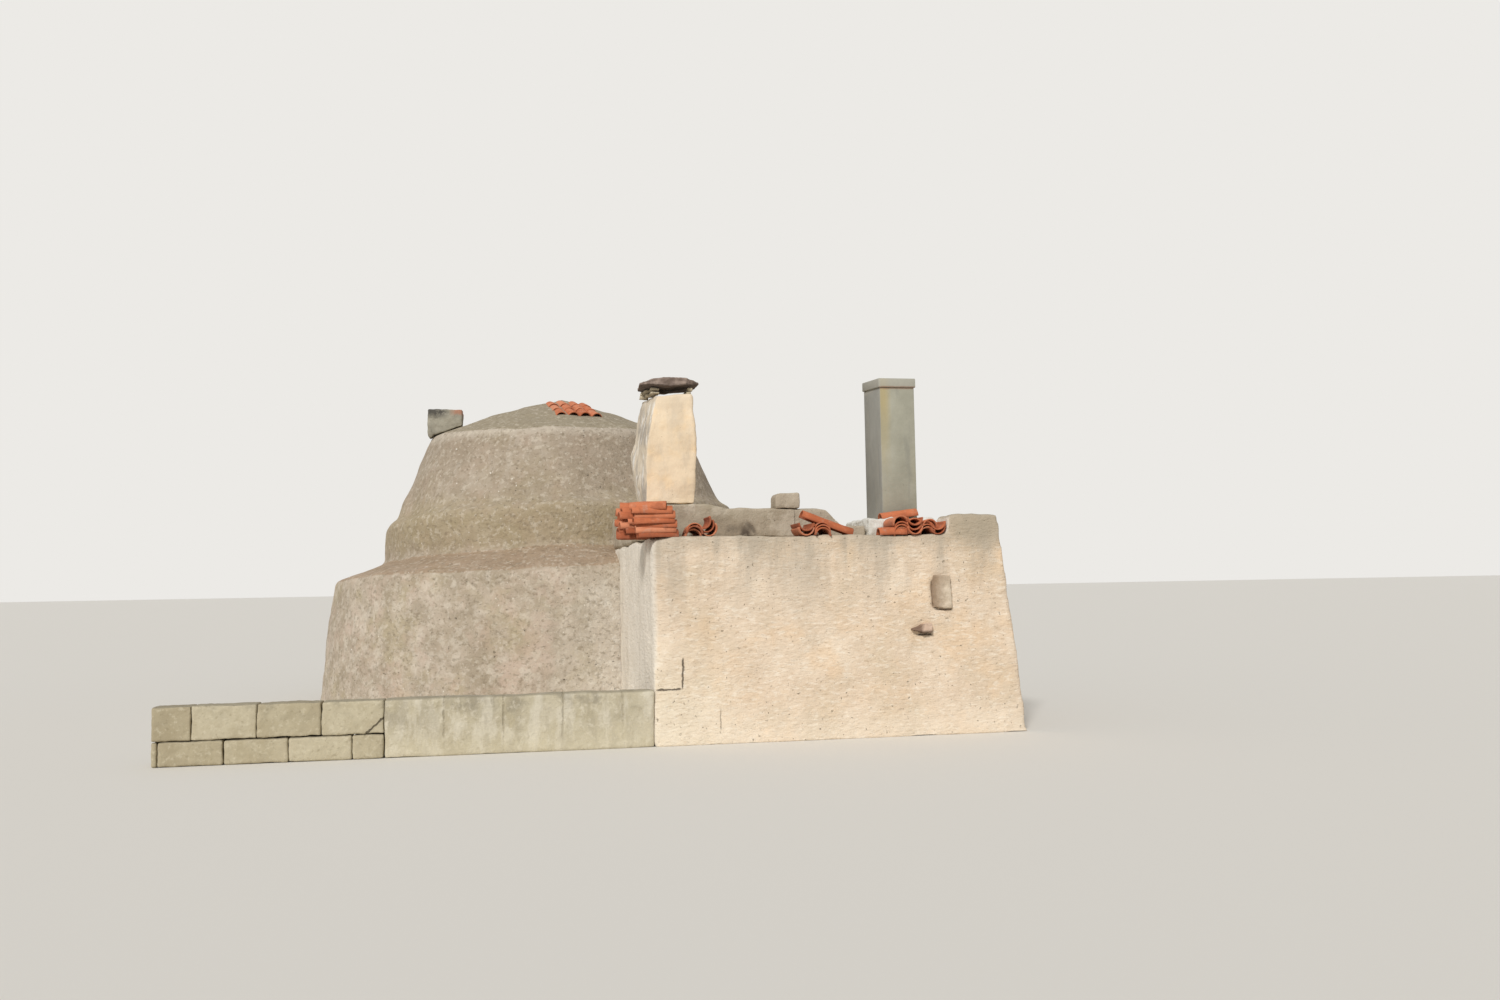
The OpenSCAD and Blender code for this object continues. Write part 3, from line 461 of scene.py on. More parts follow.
def modified(bm, kind, **settings):       # the bmesh with one modifier applied
    mesh = meshOf("before", bm)
    holder = linked("holder", mesh)
    modifier = holder.modifiers.new(kind, kind)
    for key, value in settings.items():
        setattr(modifier, key, value)
    graph = bpy.context.evaluated_depsgraph_get()
    after = bpy.data.meshes.new_from_object(holder.evaluated_get(graph), depsgraph=graph)
    result = bmesh.new()
    result.from_mesh(after)
    bpy.data.objects.remove(holder)
    bpy.data.meshes.remove(mesh)
    bpy.data.meshes.remove(after)
    return result


def soften(bm, times, verts=None):
    for _ in range(times):
        bmesh.ops.smooth_vert(bm, verts=verts or bm.verts, factor=0.5,
                              use_axis_x=True, use_axis_y=True, use_axis_z=True)
    return bm


def remeshed(bm, voxel, softness=2):
    return soften(modified(bm, "REMESH", mode="VOXEL", voxel_size=voxel), softness)


def roughen(bm, layers, seed=0.0):      # lumps of (size, height) in metres, along the normals
    bm.normal_update()
    offset = Vector((seed * 7.3, seed * 3.1, seed * 5.7))
    moves = [vert.normal * sum(height * noise.noise(vert.co / size + offset) for size, height in layers)
             for vert in bm.verts]
    for vert, move in zip(bm.verts, moves):
        vert.co += move
    bm.normal_update()
    return bm


def worn(node, shape, seed):        # a CAD node with worn edges and uneven faces
    return roughen(remeshed(cadCopy(node), shape["voxel"], shape.get("softness", 2)), shape["relief"], seed)


def bevelEdges(bm, width, segments=2, angle=0.5):       # every edge that turns by more than the angle
    edges = [e for e in bm.edges if e.is_manifold and e.calc_face_angle() > angle]
    bmesh.ops.bevel(bm, geom=edges, offset=width, offset_type="OFFSET", segments=segments, profile=0.5,
                    affect="EDGES", material=-1)


def setTone(bm, tone):
    layer = bm.verts.layers.float.get("tone") or bm.verts.layers.float.new("tone")
    for vert in bm.verts:
        vert[layer] = tone
    return bm


def clamped(value):
    return min(max(value, 0.0), 1.0)


def stray(rng, reach):      # a random amount to either side
    return rng.uniform(-reach, reach)


def partOf(low, high, k, count):        # both ends of the k-th of some equal parts
    return [low + (high - low) * (k + end) / count for end in (0, 1)]


def addPiece(name, bm, material, slotName, *nodes, sharp=180.0):
    for vert in bm.verts:
        vert.co.z = max(vert.co.z, 0.0)     # nothing reaches below the ground
    mesh = meshOf(name, bm)
    for polygon in mesh.polygons:
        polygon.use_smooth = True
    if sharp < 180:
        mesh.set_sharp_from_angle(angle=math.radians(sharp))
    mesh.materials.append(material)
    piece = linked(name, mesh)
    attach(piece, "root")
    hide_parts(*nodes)
    print(name, len(mesh.polygons), "faces")


# Round house: one skin over its wall, ledge, drum, cone and roof, built by eye and settled unevenly

house = {"steps": 290, "spacing": 0.05, "ledgeSoftness": 4, "rimSoftness": 2, "rimReach": 0.3,
         "relief": [(1.3, 0.045), (0.45, 0.028), (0.16, 0.010)],
         "ledgeCorner": (3.51, 1.96), "drumShoulder": 2.79, "roofEdge": 0.03, "roofSwell": 1.15,
         "roofSteps": 8, "rimRound": 0.01, "underRoof": 0.02, "doorCut": (-0.2, 4.2),
         # height, and how far the wall stands higher there at its left and at its front
         "settling": [(0.0, 0, 0), (1.96, -0.11, 0.04), (2.23, -0.12, 0.05), (2.79, -0.13, 0.10), (3.0, -0.10, 0.07),
                      (4.06, 0.03, -0.04), (4.8, 0, 0)], "fade": 0.3, "clear": 0.03}
dome = {"courses": 12, "bed": 0.4, "eye": 0.3, "curve": 1.7, "lean": 0.63, "stone": 0.33, "stagger": 0.12,
        "joint": 0.012, "beds": (0.005, 0.004), "shortest": 0.03, "uneven": 0.012, "widening": 0.8, "bevel": 0.014,
        "jitter": (0.008, 0.010, 0.004), "tones": (0.1, 0.9)}

baseRadius = -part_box("wall_front_left")[0].x
drumRadius = -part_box("drum")[0].x
coneRadius = -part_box("upper_cone")[0].x
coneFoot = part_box("drum")[1].z
rimRadius = -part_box("roof_cone")[0].x
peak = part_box("roof_cone")[1].z
roomRadius = -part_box("room_floor")[0].x
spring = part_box("dome_lower_courses")[0].z
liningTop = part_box("closing_slab")[0].z
slabRadius = -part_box("closing_slab")[0].x
courseHeight = (liningTop - spring) / dome["courses"]


def courseRadius(i):
    return dome["eye"] + (roomRadius - dome["eye"]) * (1 - (i / dome["courses"]) ** dome["curve"])


def roofHeight(r):
    foot = rimTop + house["roofEdge"]
    return foot + (peak - foot) * (1 - (r / rimRadius) ** house["roofSwell"])


def settle(bm):     # the outside settles, the room's lining stays level
    for vert in bm.verts:
        x, y, z = vert.co
        radius = math.hypot(x, y)
        lining = roomRadius if z < spring else roomRadius + dome["bed"] - dome["lean"] * (z - spring)
        outside = radius / rimRadius if z > liningTop + house["clear"] else clamped((radius - lining) / house["fade"])
        steps = house["settling"]
        for (z0, left0, front0), (z1, left1, front1) in zip(steps, steps[1:]):
            if z0 <= z <= z1 and radius > 0.01:
                share = (z - z0) / (z1 - z0)
                left = left0 + (left1 - left0) * share
                front = front0 + (front1 - front0) * share
                vert.co.z += outside * (left * -x + front * -y) / radius
                break
    return bm


def houseSkin():        # one outline, from the roof's peak down the outside and up the lining's back, spun round
    radii = [rimRadius * k / house["roofSteps"] for k in range(house["roofSteps"])]
    outline = [(radius, roofHeight(radius)) for radius in radii]
    outline += [(rimRadius - house["rimRound"], rimTop + house["roofEdge"]), (coneRadius, coneFoot),
                (drumRadius, house["drumShoulder"]), (drumRadius, ledgeTop), house["ledgeCorner"], (baseRadius, 0),
                (roomRadius, 0), (roomRadius, spring)]
    for i in range(dome["courses"]):
        outline += [(courseRadius(i) + dome["bed"], spring + (i + k) * courseHeight) for k in (0, 1)]
    outline += [(radius, rimTop - house["underRoof"]) for radius in (slabRadius, 0)]
    bm = bmesh.new()
    verts = [bm.verts.new((r, 0, z)) for r, z in outline]
    for edge in [bm.edges.new(pair) for pair in zip(verts, verts[1:])]:
        cuts = int(edge.calc_length() / house["spacing"])
        if cuts:
            bmesh.ops.subdivide_edges(bm, edges=[edge], cuts=cuts)
    soften(bm, house["ledgeSoftness"], [v for v in bm.verts if v.co.x > roomRadius + dome["bed"] and v.co.z > 0.001])
    soften(bm, house["rimSoftness"], [v for v in bm.verts if v.co.x > rimRadius - house["rimReach"]
                                      and v.co.z > rimTop - house["rimReach"]])
    bmesh.ops.spin(bm, geom=bm.verts[:] + bm.edges[:], cent=(0, 0, 0), axis=(0, 0, 1), angle=2 * math.pi,
                   steps=house["steps"], use_merge=True)
    bmesh.ops.remove_doubles(bm, verts=bm.verts, dist=0.0001)
    bmesh.ops.recalc_face_normals(bm, faces=bm.faces)
    return settle(roughen(bm, house["relief"], 1))


skin = houseSkin()
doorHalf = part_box("door_threshold")[1].x
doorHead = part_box("door_lintel")[0].z
surroundLow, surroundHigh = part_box("door_jamb_left")[0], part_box("door_lintel")[1]
cutFrom, cutTo = house["doorCut"]
for opening in (boxOf((-doorHalf, 0, cutFrom), (doorHalf, cutTo, doorHead)),        # the passage, then its stones' seat
                boxOf((surroundLow.x, surroundLow.y, cutFrom), (surroundHigh.x, cutTo, surroundHigh.z))):
    cutter = linked("cutter", meshOf("cutter", opening))
    skin = modified(skin, "BOOLEAN", object=cutter, operation="DIFFERENCE", solver="EXACT")
    bpy.data.objects.remove(cutter)
addPiece("roundHouse", skin, floatedRender, "grey_render", "wall_front_left", "wall_front_right", "wall_back_left",
         "wall_back_right", "ledge", "drum", "upper_cone", "roof_cone", sharp=60)

rim = {"voxel": 0.016, "relief": [(0.25, 0.022), (0.08, 0.008)], "lift": 0.02}
rimBlock = worn("rim_block", rim, 3)
bmesh.ops.translate(rimBlock, vec=(0, 0, rim["lift"]), verts=rimBlock.verts)
addPiece("rimBlock", rimBlock, plasterWithPaintedShade, "lime_render", "rim_block")
print("round house made")


# Corbelled dome: rings of dry stones, each reaching further in than the ring below

def corbelledDome():
    rng = random.Random(11)
    bm = bmesh.new()
    for i in range(dome["courses"]):
        radius = courseRadius(i)
        count = round(2 * math.pi * radius / dome["stone"])
        width = 2 * math.pi * radius / count - dome["joint"]
        low = spring + i * courseHeight
        for k in range(count):
            angle = (k + (i % 2) / 2 + stray(rng, dome["stagger"])) / count * 2 * math.pi
            if abs(math.sin(angle)) * radius < doorHalf + width / 2 and math.cos(angle) > 0 and low < doorHead:
                continue        # left free for the passage from the doorway
            depth = dome["bed"] - rng.uniform(0.0, dome["shortest"])
            stone = boxOf((-width / 2, radius - stray(rng, dome["uneven"]), low + dome["beds"][0]),
                          (width / 2, radius + depth, low + courseHeight - dome["beds"][1]))
            for vert in stone.verts:
                if vert.co.y > radius + depth / 2:
                    vert.co.x *= 1 + depth / radius * dome["widening"]
                vert.co += Vector([stray(rng, reach) for reach in dome["jitter"]])
            bevelEdges(stone, dome["bevel"])
            bmesh.ops.rotate(stone, matrix=Matrix.Rotation(-angle, 3, "Z"), cent=(0, 0, 0), verts=stone.verts)
            join(bm, setTone(stone, rng.uniform(*dome["tones"])))
    return bm


addPiece("corbelStones", corbelledDome(), splitLimestone, "field_stone", "dome_lower_courses",
         "dome_middle_courses", "dome_upper_courses", sharp=50)
closing = {"voxel": 0.03, "softness": 1, "relief": [(0.3, 0.012)], "tone": 0.4}
addPiece("closingSlab", setTone(worn("closing_slab", closing, 43), closing["tone"]), splitLimestone, "field_stone",
         "closing_slab")
print("dome made")


# Doorway stones

doorway = {"jambStones": 5, "joint": 0.008, "voxel": 0.02, "relief": 0.008, "chip": 0.012,
           "tones": (0.2, 0.9)}


def dressedStone(low, high, seed, voxel=doorway["voxel"], relief=doorway["relief"], chip=doorway["chip"]):
    rng = random.Random(seed)
    middle = (Vector(low) + Vector(high)) / 2
    bm = boxOf(low, high)
    for vert in bm.verts:       # each corner is a little short of square
        vert.co -= Vector([rng.uniform(0, chip) * math.copysign(1, c - m) for c, m in zip(vert.co, middle)])
    bm = roughen(remeshed(bm, voxel, 1), [(0.18, relief), (0.05, relief * 0.5)], seed)
    return setTone(bm, rng.uniform(*doorway["tones"]))


def stackedStones(node, count, seed):
    low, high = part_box(node)
    half = doorway["joint"] / 2
    bm = bmesh.new()
    for k in range(count):
        z0, z1 = partOf(low.z, high.z, k, count)
        join(bm, dressedStone((low.x, low.y, z0 + half), (high.x, high.y, z1 - half), seed + k))
    return bm


for pieceName, node, count, seed in (("jambStonesLeft", "door_jamb_left", doorway["jambStones"], 21),
                                     ("jambStonesRight", "door_jamb_right", doorway["jambStones"], 31),
                                     ("lintelStone", "door_lintel", 1, 41)):
    addPiece(pieceName, stackedStones(node, count, seed), splitLimestone, "field_stone", node)
threshold = {"voxel": 0.03, "softness": 1, "relief": [(0.3, 0.008), (0.08, 0.003)]}
addPiece("thresholdStone", worn("door_threshold", threshold, 42), splitLimestone, "field_stone", "door_threshold")


# Floors

floors = {"slab": 0.45, "uneven": 0.05, "joint": 0.006, "lift": (0.001, 0.004), "tone": 0.5}


def pavedFloor(node, seed):       # slabs of stone over the whole floor, cut to its outline
    rng = random.Random(seed)
    floor = cadCopy(node)
    low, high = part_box(node)
    bmesh.ops.dissolve_limit(floor, angle_limit=0.01, verts=floor.verts, edges=floor.edges)
    for across, start, end in (((1, 0, 0), low.x, high.x), ((0, 1, 0), low.y, high.y)):
        for k in range(1, int((end - start) / floors["slab"])):
            at = start + k * floors["slab"] + stray(rng, floors["uneven"])
            bmesh.ops.bisect_plane(floor, geom=floor.verts[:] + floor.edges[:] + floor.faces[:],
                                   plane_co=Vector(across) * at, plane_no=across)
    tops = [f for f in floor.faces if f.normal.z > 0.9]
    bmesh.ops.inset_individual(floor, faces=tops, thickness=floors["joint"], depth=0.0)
    for face in tops:
        lift = rng.uniform(*floors["lift"])
        for vert in face.verts:
            vert.co.z += lift
    return setTone(floor, floors["tone"])


for pieceName, node, seed in (("roomPaving", "room_floor", 71), ("kitchenPaving", "kitchen_floor", 72)):
    addPiece(pieceName, pavedFloor(node, seed), splitLimestone, "field_stone", node, sharp=30)
print("doorway and floors made")


# Kitchen walls: one rounded skin, with the sockets of its two stones filled up to the face

kitchen = {"voxel": 0.030, "relief": [(0.9, 0.022), (0.3, 0.014), (0.11, 0.008)], "cornerSoftness": 30,
           "cornerReach": (0.22, 0.30, 0.1), "cornerFill": ((0.02, 0.03, -0.04), (0.03, 0.03, 0.04)),
           "fill": 0.012, "overlap": 0.02, "behind": 0.07,
           "socketLeft": {"large_wall_stone": 0.075, "small_wall_stone": -0.02}}      # how much stays open on the left
kitchenNodes = ["kitchen_front_wall", "kitchen_left_wall", "kitchen_right_wall", "kitchen_back_wall_left",
                "kitchen_back_wall_right", "kitchen_lintel_stone", "raised_corner", "corner_stone"]
walls = cadCopy(*kitchenNodes)
for node, openPart in kitchen["socketLeft"].items():
    low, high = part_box(node)
    over = kitchen["overlap"]
    face = wallFoot + frontLean * (low.z + high.z) / 2 / wallTop + kitchen["fill"]
    for left, front in ((openPart, face), (-over, face + kitchen["behind"])):
        join(walls, boxOf((low.x + left, front, low.z - over), (high.x + over, high.y + over, high.z + over)))
fillLow, fillHigh = kitchen["cornerFill"]
join(walls, boxOf(cornerLow + Vector(fillLow), cornerHigh + Vector(fillHigh)))
walls = remeshed(walls, kitchen["voxel"])
reachX, reachY, reachDown = kitchen["cornerReach"]
soften(walls, kitchen["cornerSoftness"], [v for v in walls.verts if v.co.x < cornerLow.x + reachX
                                          and v.co.y < wallFoot + reachY and v.co.z > cornerHigh.z - reachDown])
addPiece("kitchenWalls", roughen(walls, kitchen["relief"], 4), limewashedRender, "lime_render", *kitchenNodes)

largeStone = {"voxel": 0.010, "softness": 4, "broken": 0.085, "brokenDepth": 0.075, "lift": 0.01, "growth": 0.03,
              "relief": [(0.14, 0.016), (0.05, 0.006)]}
smallStone = {"voxel": 0.008, "softness": 3, "point": 0.05, "pointHeight": 0.05, "pointLength": 0.06, "pinch": 0.9,
              "lift": 0.02, "relief": [(0.09, 0.012), (0.03, 0.005)]}
large = remeshed(cadCopy("large_wall_stone"), largeStone["voxel"], largeStone["softness"])
for vert in large.verts:        # broken off at its left, where it runs back into the wall
    share = clamped(1 - (vert.co.x - largeLow.x) / largeStone["broken"])
    vert.co.y += largeStone["brokenDepth"] * share ** 1.5
    vert.co.z += largeStone["lift"] + largeStone["growth"] * (vert.co.z - largeLow.z) / (largeHigh.z - largeLow.z)
small = remeshed(cadCopy("small_wall_stone"), smallStone["voxel"], smallStone["softness"])
for vert in small.verts:        # pointed at its left
    share = clamped(1 - (vert.co.x - smallLow.x) / smallStone["point"])
    vert.co.z += (smallLow.z + smallStone["pointHeight"] - vert.co.z) * smallStone["pinch"] * share ** 0.5
    vert.co.x -= smallStone["pointLength"] * share
    vert.co.z += smallStone["lift"] * (smallHigh.z - vert.co.z) / (smallHigh.z - smallLow.z)
for pieceName, bm, shape, seed, node in (("largeWallStone", large, largeStone, 6, "large_wall_stone"),
                                         ("smallWallStone", small, smallStone, 7, "small_wall_stone")):
    addPiece(pieceName, roughen(bm, shape["relief"], seed), limewashedLimestone, "field_stone", node)
print("kitchen walls made")

roofs = {"raisedRoof": {"node": "raised_roof", "voxel": 0.028, "relief": [(0.7, 0.025), (0.2, 0.014), (0.08, 0.006)]},
         "flatRoof": {"node": "flat_roof", "voxel": 0.028, "relief": [(0.7, 0.012), (0.2, 0.008)]},
         "roofStub": {"node": "roof_stub", "voxel": 0.014, "relief": [(0.15, 0.012), (0.05, 0.004)]}}
for seed, (pieceName, roof) in enumerate(roofs.items(), 8):
    addPiece(pieceName, worn(roof["node"], roof, seed), floatedCement, "cement_render", roof["node"])
print("kitchen roofs made")


# Broad chimney with its cap slab on props

broad = {"voxel": 0.018, "softness": 3, "relief": [(0.42, 0.030), (0.16, 0.014), (0.06, 0.004)]}
addPiece("broadChimney", worn("broad_chimney", broad, 11), trowelledRender, "lime_render", "broad_chimney")

# thick in the middle and thin at both ends, the right end a little higher
cap = {"voxel": 0.011, "middle": 1.05, "ends": 0.55, "underside": 0.25, "rise": 0.04,
       "relief": [(0.25, 0.012), (0.08, 0.006), (0.03, 0.004)]}
capLow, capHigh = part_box("chimney_slab")
capMiddle, capHalf = (capLow.x + capHigh.x) / 2, (capHigh.x - capLow.x) / 2
capSlab = remeshed(cadCopy("chimney_slab"), cap["voxel"])
for vert in capSlab.verts:
    out = abs(vert.co.x - capMiddle) / capHalf
    share = (vert.co.z - capLow.z) / (capHigh.z - capLow.z)
    under, over = cap["underside"] * out, cap["middle"] - cap["ends"] * out ** 2
    vert.co.z = (capLow.z + (capHigh.z - capLow.z) * (under + (over - under) * share)
                 + cap["rise"] * max(vert.co.x - capMiddle, 0))
addPiece("capSlab", roughen(capSlab, cap["relief"], 13), weatheredLimestone, "field_stone", "chimney_slab")

props = {"width": (0.11, 0.055), "parts": (3, 2), "lower": 0.045, "spread": 0.10, "nearest": 0.3, "shift": 0.015,
         "gap": 0.01, "thicker": 0.01, "higher": 0.004, "voxel": 0.009, "relief": 0.010}


def propStones():       # flat stones in two layers, spread out to the left behind
    low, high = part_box("chimney_props")
    layers = ((low.z, low.z + props["lower"]), (low.z + props["lower"], high.z + props["higher"]))
    rng = random.Random(12)
    bm = bmesh.new()
    for x0, x1, parts, spreadOut in ((low.x, low.x + props["width"][0], props["parts"][0], props["spread"]),
                                     (high.x - props["width"][1], high.x, props["parts"][1], 0)):
        for k in range(parts):
            y0, y1 = partOf(low.y, high.y, k, parts)
            for layer, (z0, z1) in enumerate(layers):
                shift = stray(rng, props["shift"]) - spreadOut * (k + props["nearest"]) / parts
                join(bm, dressedStone((x0 + shift, y0 + props["gap"], z0),
                                      (x1 + shift + props["thicker"], y1 - props["gap"], z1),
                                      80 + k * 2 + layer, props["voxel"], props["relief"]))
    return bm


addPiece("propStones", propStones(), splitLimestone, "field_stone", "chimney_props")


# Slim chimney on its mortar pad

pad = {"voxel": 0.016, "relief": [(0.2, 0.028), (0.06, 0.014)]}
slim = {"arris": 0.008, "bandArris": 0.010, "tilt": 0.08}       # higher at the back, for each metre of depth


def castBlock(node, width):     # straight cast edges with a small bevel
    bm = cadCopy(node)
    bmesh.ops.dissolve_limit(bm, angle_limit=0.01, verts=bm.verts, edges=bm.edges)
    bevelEdges(bm, width)
    for vert in bm.verts:
        share = clamped((vert.co.z - slimLow.z) / (slimHigh.z - slimLow.z))
        vert.co.z += slim["tilt"] * share ** 2 * (vert.co.y - slimLow.y)
    return bm


addPiece("mortarPad", worn("chimney_pad", pad, 14), heapedMortar, "lime_render", "chimney_pad")
for pieceName, node, width in (("slimChimney", "slim_chimney", slim["arris"]),
                               ("slimBand", "slim_chimney_band", slim["bandArris"])):
    addPiece(pieceName, castBlock(node, width), castCement, "cement_render", node, sharp=40)
print("chimneys made")


# Clay tiles

tile = {"length": 0.44, "radius": 0.092, "thickness": 0.015, "steps": 14, "taper": 0.10, "arris": 0.003, "sag": 0.004,
        "skew": 0.006, "gap": 0.0003, "nest": 0.6, "crownSlip": (-0.02, 0.04), "hollowSlip": 0.015,
        "looseRoll": 4, "looseTurn": 3, "tones": (0.05, 1.0), "relief": [(0.12, 0.005), (0.04, 0.002)]}
innerRadius = tile["radius"] - tile["thickness"]
nestStep = math.sqrt(tile["radius"] ** 2 - innerRadius ** 2) + tile["gap"]      # from one nested tile to the next
tilePitch = 2 * tile["radius"] + tile["gap"]
tileBed = wallTop + tile["gap"]


def clayTile(length, rng):      # crown up, along +Y from the origin
    bm = bmesh.new()
    corners = ((tile["radius"], 0), (tile["radius"], length), (innerRadius, length), (innerRadius, 0))
    verts = [bm.verts.new((x, y, 0)) for x, y in corners]
    edges = [bm.edges.new((verts[i], verts[(i + 1) % 4])) for i in range(4)]
    bmesh.ops.subdivide_edges(bm, edges=[edges[0], edges[2]], cuts=4)
    bmesh.ops.spin(bm, geom=bm.verts[:] + bm.edges[:], cent=(0, 0, 0), axis=(0, 1, 0), angle=-math.pi,
                   steps=tile["steps"], use_merge=False)
    bmesh.ops.remove_doubles(bm, verts=bm.verts, dist=0.00005)
    bmesh.ops.holes_fill(bm, edges=[e for e in bm.edges if e.is_boundary], sides=20)
    bmesh.ops.recalc_face_normals(bm, faces=bm.faces)
    bevelEdges(bm, tile["arris"], segments=1, angle=0.8)
    sag, skew = stray(rng, tile["sag"]), stray(rng, tile["skew"])
    for vert in bm.verts:
        along = vert.co.y / length
        shrink = 1 - tile["taper"] * along
        vert.co.x = vert.co.x * shrink + skew * (along - 0.5) * 2
        vert.co.z = vert.co.z * shrink + sag * math.sin(along * math.pi)
    roughen(bm, tile["relief"], rng.uniform(0, 50))
    return setTone(bm, rng.uniform(*tile["tones"]))


def layTile(bm, place, rng, turn=0.0, roll=0.0, tip=0.0, length=tile["length"]):
    part = clayTile(length, rng)
    pose = Matrix.Translation(place) @ turned(roll, "Y") @ turned(turn, "Z") @ turned(tip, "X")
    bmesh.ops.transform(part, matrix=pose, verts=part.verts)
    join(bm, part)


def crownStack(bm, x, y, layers, rng, roll=0.0):        # nested tiles with their crowns up
    for k in range(layers):
        layTile(bm, (x, y + rng.uniform(*tile["crownSlip"]), tileBed + k * nestStep * tile["nest"]), rng,
                roll=roll + stray(rng, tile["looseRoll"]), turn=stray(rng, tile["looseTurn"]))


def hollowStack(bm, x, y, roll, layers, rng):       # nested tiles with their hollows up, at 180 degrees
    rolled = turned(roll, "Y", 3)
    for k in range(layers):
        place = Vector((x, y, tileBed + tile["radius"])) + rolled @ Vector((0, 0, -k * nestStep))
        layTile(bm, place + Vector((0, stray(rng, tile["hollowSlip"]), 0)), rng, roll=roll)


# how far each tile is pulled back from the pile's right end, for each of its three rows
cornerTiles = {"pulls": [[0.15, 0.19, 0.12, 0.21, 0.16, 0.20, 0.14], [0.205, 0.13, 0.18, 0.11, 0.19, 0.15, 0.17],
                         [0, 0.025, 0.01, 0.045, 0.03, 0.06]],
               "loose": (10, 10, 3), "roll": (-2.5, 1.5),
               "over": {"pull": 0.12, "row": 2.55, "layer": 6, "turn": 80, "length": 0.40}}


def cornerPile(low, high, rng):
    bm = bmesh.new()
    for row, (pulls, loose) in enumerate(zip(cornerTiles["pulls"], cornerTiles["loose"])):
        for k, pull in enumerate(pulls):
            layTile(bm, (high.x - pull, high.y - (row + 0.5) * tilePitch, tileBed + k * nestStep), rng,
                    turn=90 + stray(rng, loose), roll=rng.uniform(*cornerTiles["roll"]))
    over = cornerTiles["over"]
    layTile(bm, (high.x - over["pull"], high.y - over["row"] * tilePitch, wallTop + over["layer"] * nestStep), rng,
            turn=over["turn"], length=over["length"])
    return bm


leaningTiles = {"crowns": 3, "hollows": 3, "lean": 145, "back": 0.015}


def leaningPile(low, high, rng):
    left = low.x + tile["radius"]
    bm = bmesh.new()
    crownStack(bm, left, low.y, leaningTiles["crowns"], rng)
    hollowStack(bm, left + math.sqrt(tilePitch ** 2 - tile["radius"] ** 2), low.y + leaningTiles["back"],
                leaningTiles["lean"], leaningTiles["hollows"], rng)
    return bm


slopingTiles = {"longLength": 0.62, "slope": 21.0, "crowns": 3, "hollows": 2, "overhang": 0.04}


def slopingPile(low, high, rng):
    left = low.x + tile["radius"]
    slope = math.radians(slopingTiles["slope"])
    crownTop = tile["radius"] + tile["gap"] + (nestStep + tile["gap"]) * math.cos(slope)
    bm = bmesh.new()
    hollowStack(bm, left, shelfFront - slopingTiles["overhang"] / 2, 180, slopingTiles["hollows"], rng)
    crownStack(bm, left + tilePitch, shelfFront - slopingTiles["overhang"], slopingTiles["crowns"], rng)
    layTile(bm, (left + tilePitch + crownTop / math.sin(slope), (shelfFront + shelfBack) / 2, tileBed), rng, turn=90,
            roll=slopingTiles["slope"], length=slopingTiles["longLength"])
    return bm


# a wave of crowns and hollows side by side, with loose tiles over it: places from the pile's left end
archedTiles = {"side": {"x": 0.33, "back": 0.10, "length": 0.32}, "overhang": 0.035,
               "looseRoll": 8, "looseTurn": 6, "slip": 0.05,
               "crowns": [(0.27, 3, -6), (0.57, 3, 4)], "hollows": [(0.42, 3), (0.69, 2)],
               "over": [(0.26, 0.125, -16), (0.42, 0.10, 14), (0.60, 0.085, 9)],
               "onPad": {"x": 0.15, "y": 0.12, "z": 0.03, "roll": -6}}


def archedPile(low, high, rng):
    side, onPad, front = archedTiles["side"], archedTiles["onPad"], shelfFront - archedTiles["overhang"]
    bm = bmesh.new()
    layTile(bm, (low.x + side["x"], front + side["back"], tileBed), rng, turn=90, length=side["length"])
    for x, layers, roll in archedTiles["crowns"]:
        crownStack(bm, low.x + x, front, layers, rng, roll)
    for x, layers in archedTiles["hollows"]:
        hollowStack(bm, low.x + x, front, 180 + stray(rng, archedTiles["looseRoll"]), layers, rng)
    for x, lift, roll in archedTiles["over"]:
        layTile(bm, (low.x + x, front + rng.uniform(0, archedTiles["slip"]), wallTop + lift), rng, roll=roll,
                turn=stray(rng, archedTiles["looseTurn"]))
    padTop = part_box("chimney_pad")[1].z
    layTile(bm, (slimLow.x + onPad["x"] + tile["length"] / 2, slimLow.y - onPad["y"], padTop + onPad["z"]), rng,
            turn=90, roll=onPad["roll"])
    return bm


# rows from the eaves up, bleached by the sun; only the lowest row's hollows stand clear of the roof
peakTiles = {"rows": 3, "columns": 4, "shown": 0.35, "middle": (0.145, -0.875), "turn": 9, "pitch": 0.95 * tilePitch,
             "sink": 0.034, "lip": (0.012, 0.004), "overlap": 0.03, "loose": (0.045, 0.06), "looseTurn": 2,
             "bleach": 0.5}


def peakPatch(low, high, rng):
    bm = bmesh.new()
    heading = turned(peakTiles["turn"], "Z", 3)
    across, upward = heading @ Vector((peakTiles["pitch"], 0, 0)), heading @ Vector((0, peakTiles["shown"], 0))
    sideways, along = peakTiles["loose"]
    rows, columns = peakTiles["rows"], peakTiles["columns"]
    for row in range(rows):
        for column in range(columns):
            foot = Vector((*peakTiles["middle"], 0)) + across * (column - (columns - 1) / 2) + upward * (row - rows / 2)
            bottom = roofHeight(foot.length) - peakTiles["sink"] + peakTiles["lip"][min(row, 1)]
            top = roofHeight((foot + upward).length) - peakTiles["sink"]
            slope = math.atan2(top - bottom, peakTiles["shown"])
            foot += across * stray(rng, sideways) + upward * stray(rng, along)
            foot.z += bottom
            layTile(bm, foot, rng, tip=math.degrees(slope), turn=peakTiles["turn"] + stray(rng, peakTiles["looseTurn"]),
                    length=peakTiles["shown"] / math.cos(slope) + peakTiles["overlap"])
    tone = bm.verts.layers.float.get("tone")
    for vert in bm.verts:
        vert[tone] = peakTiles["bleach"] + (1 - peakTiles["bleach"]) * vert[tone]
    return settle(bm)


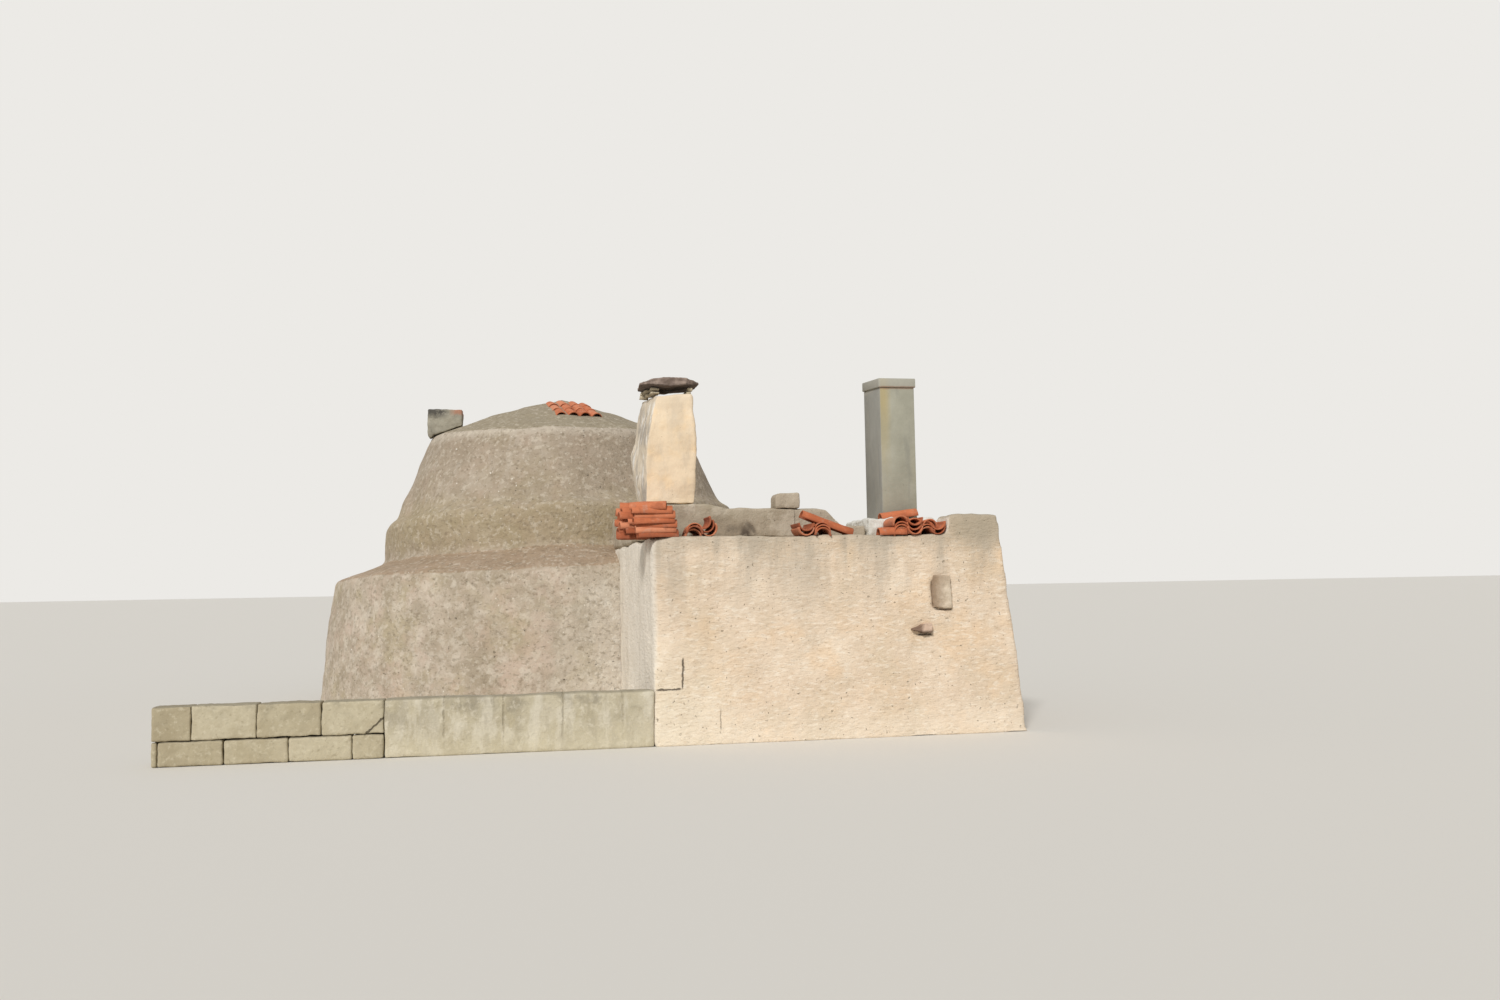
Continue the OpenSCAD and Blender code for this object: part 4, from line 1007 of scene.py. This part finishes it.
for pieceName, build, node, seed in (
        ("cornerTiles", cornerPile, "tile_pile_corner", 51), ("leaningTiles", leaningPile, "tile_pile_leaning", 52),
        ("slopingTiles", slopingPile, "tile_pile_sloping", 53), ("archedTiles", archedPile, "tile_pile_arched", 54),
        ("roofTiles", peakPatch, "roof_tiles", 55)):
    addPiece(pieceName, build(*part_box(node), random.Random(seed)), firedTerracotta, "clay_tile", node, sharp=50)
print("tiles made")


# Low wall: a rendered stretch, and two courses of bare blocks

lowWall = {"voxel": 0.02, "relief": [(0.6, 0.012), (0.2, 0.006), (0.07, 0.003)]}
blocks = {"length": 0.612, "course": 0.25, "firstCut": 0.3, "joint": 0.005, "voxel": 0.013, "relief": 0.009,
          "chip": 0.005, "shortest": 0.05}


def bareBlocks():
    low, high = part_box("low_wall_blocks")
    half = blocks["joint"] / 2
    bm = bmesh.new()
    for z0, z1, cut, seed in ((low.z, blocks["course"] - half, blocks["firstCut"], 61),
                              (blocks["course"] + half, high.z, 0.0, 71)):
        right, length = high.x, blocks["length"] - cut
        while right - low.x > blocks["shortest"]:
            left = max(right - length, low.x)
            join(bm, dressedStone((left + half, low.y, z0), (right - half, high.y, z1), seed, blocks["voxel"],
                                  blocks["relief"], blocks["chip"]))
            right, length, seed = left, blocks["length"], seed + 1
    return bm


addPiece("renderedLowWall", worn("low_wall_rendered", lowWall, 15), rubbedRender, "lime_render", "low_wall_rendered")
addPiece("lowWallBlocks", bareBlocks(), sawnTufa, "field_stone", "low_wall_blocks", sharp=60)
print("low wall made")


# Studio

studio = {"floor": "#dcd8d0", "floorSize": 500, "floorRoughness": 0.9, "sky": "#eceae6", "radiance": 0.45,
          "sun": 2.4, "sunAngle": 9.0, "azimuth": 28.0, "height": 35.0}
floorBm = bmesh.new()
bmesh.ops.create_grid(floorBm, x_segments=1, y_segments=1, size=studio["floorSize"])
floorMesh = meshOf("studioFloor", floorBm)
floorMaterial = bpy.data.materials.new("studioFloor")
floorMaterial.use_nodes = True
floorShader = floorMaterial.node_tree.nodes["Principled BSDF"]
floorShader.inputs["Base Color"].default_value = sceneColour(studio["floor"])
floorShader.inputs["Roughness"].default_value = studio["floorRoughness"]
floorMesh.materials.append(floorMaterial)
linked("studioFloor", floorMesh)

sunData = bpy.data.lights.new("softSun", "SUN")
sunData.energy = studio["sun"]
sunData.angle = math.radians(studio["sunAngle"])
sun = linked("softSun", sunData)
sun.rotation_euler = (math.radians(90 - studio["height"]), 0, math.radians(-studio["azimuth"]))

world = bpy.data.worlds.new("studio")
scene.world = world
world.use_nodes = True
sky = world.node_tree
sky.nodes.clear()
path = addNode(sky, "ShaderNodeLightPath")
seen = path.outputs["Is Camera Ray"]
for ray in ("Is Glossy Ray", "Is Transmission Ray"):
    seen = addNode(sky, "ShaderNodeMath", {0: seen, 1: path.outputs[ray]}, operation="MAXIMUM")
plain = addNode(sky, "ShaderNodeBackground", {"Color": (1, 1, 1, 1), "Strength": studio["radiance"]})
backdrop = addNode(sky, "ShaderNodeBackground", {"Color": sceneColour(studio["sky"]), "Strength": 1.0})
mixed = addNode(sky, "ShaderNodeMixShader", {0: seen, 1: plain, 2: backdrop})
addNode(sky, "ShaderNodeOutputWorld", {"Surface": mixed})
scene.view_settings.view_transform = "Standard"
print("studio set")
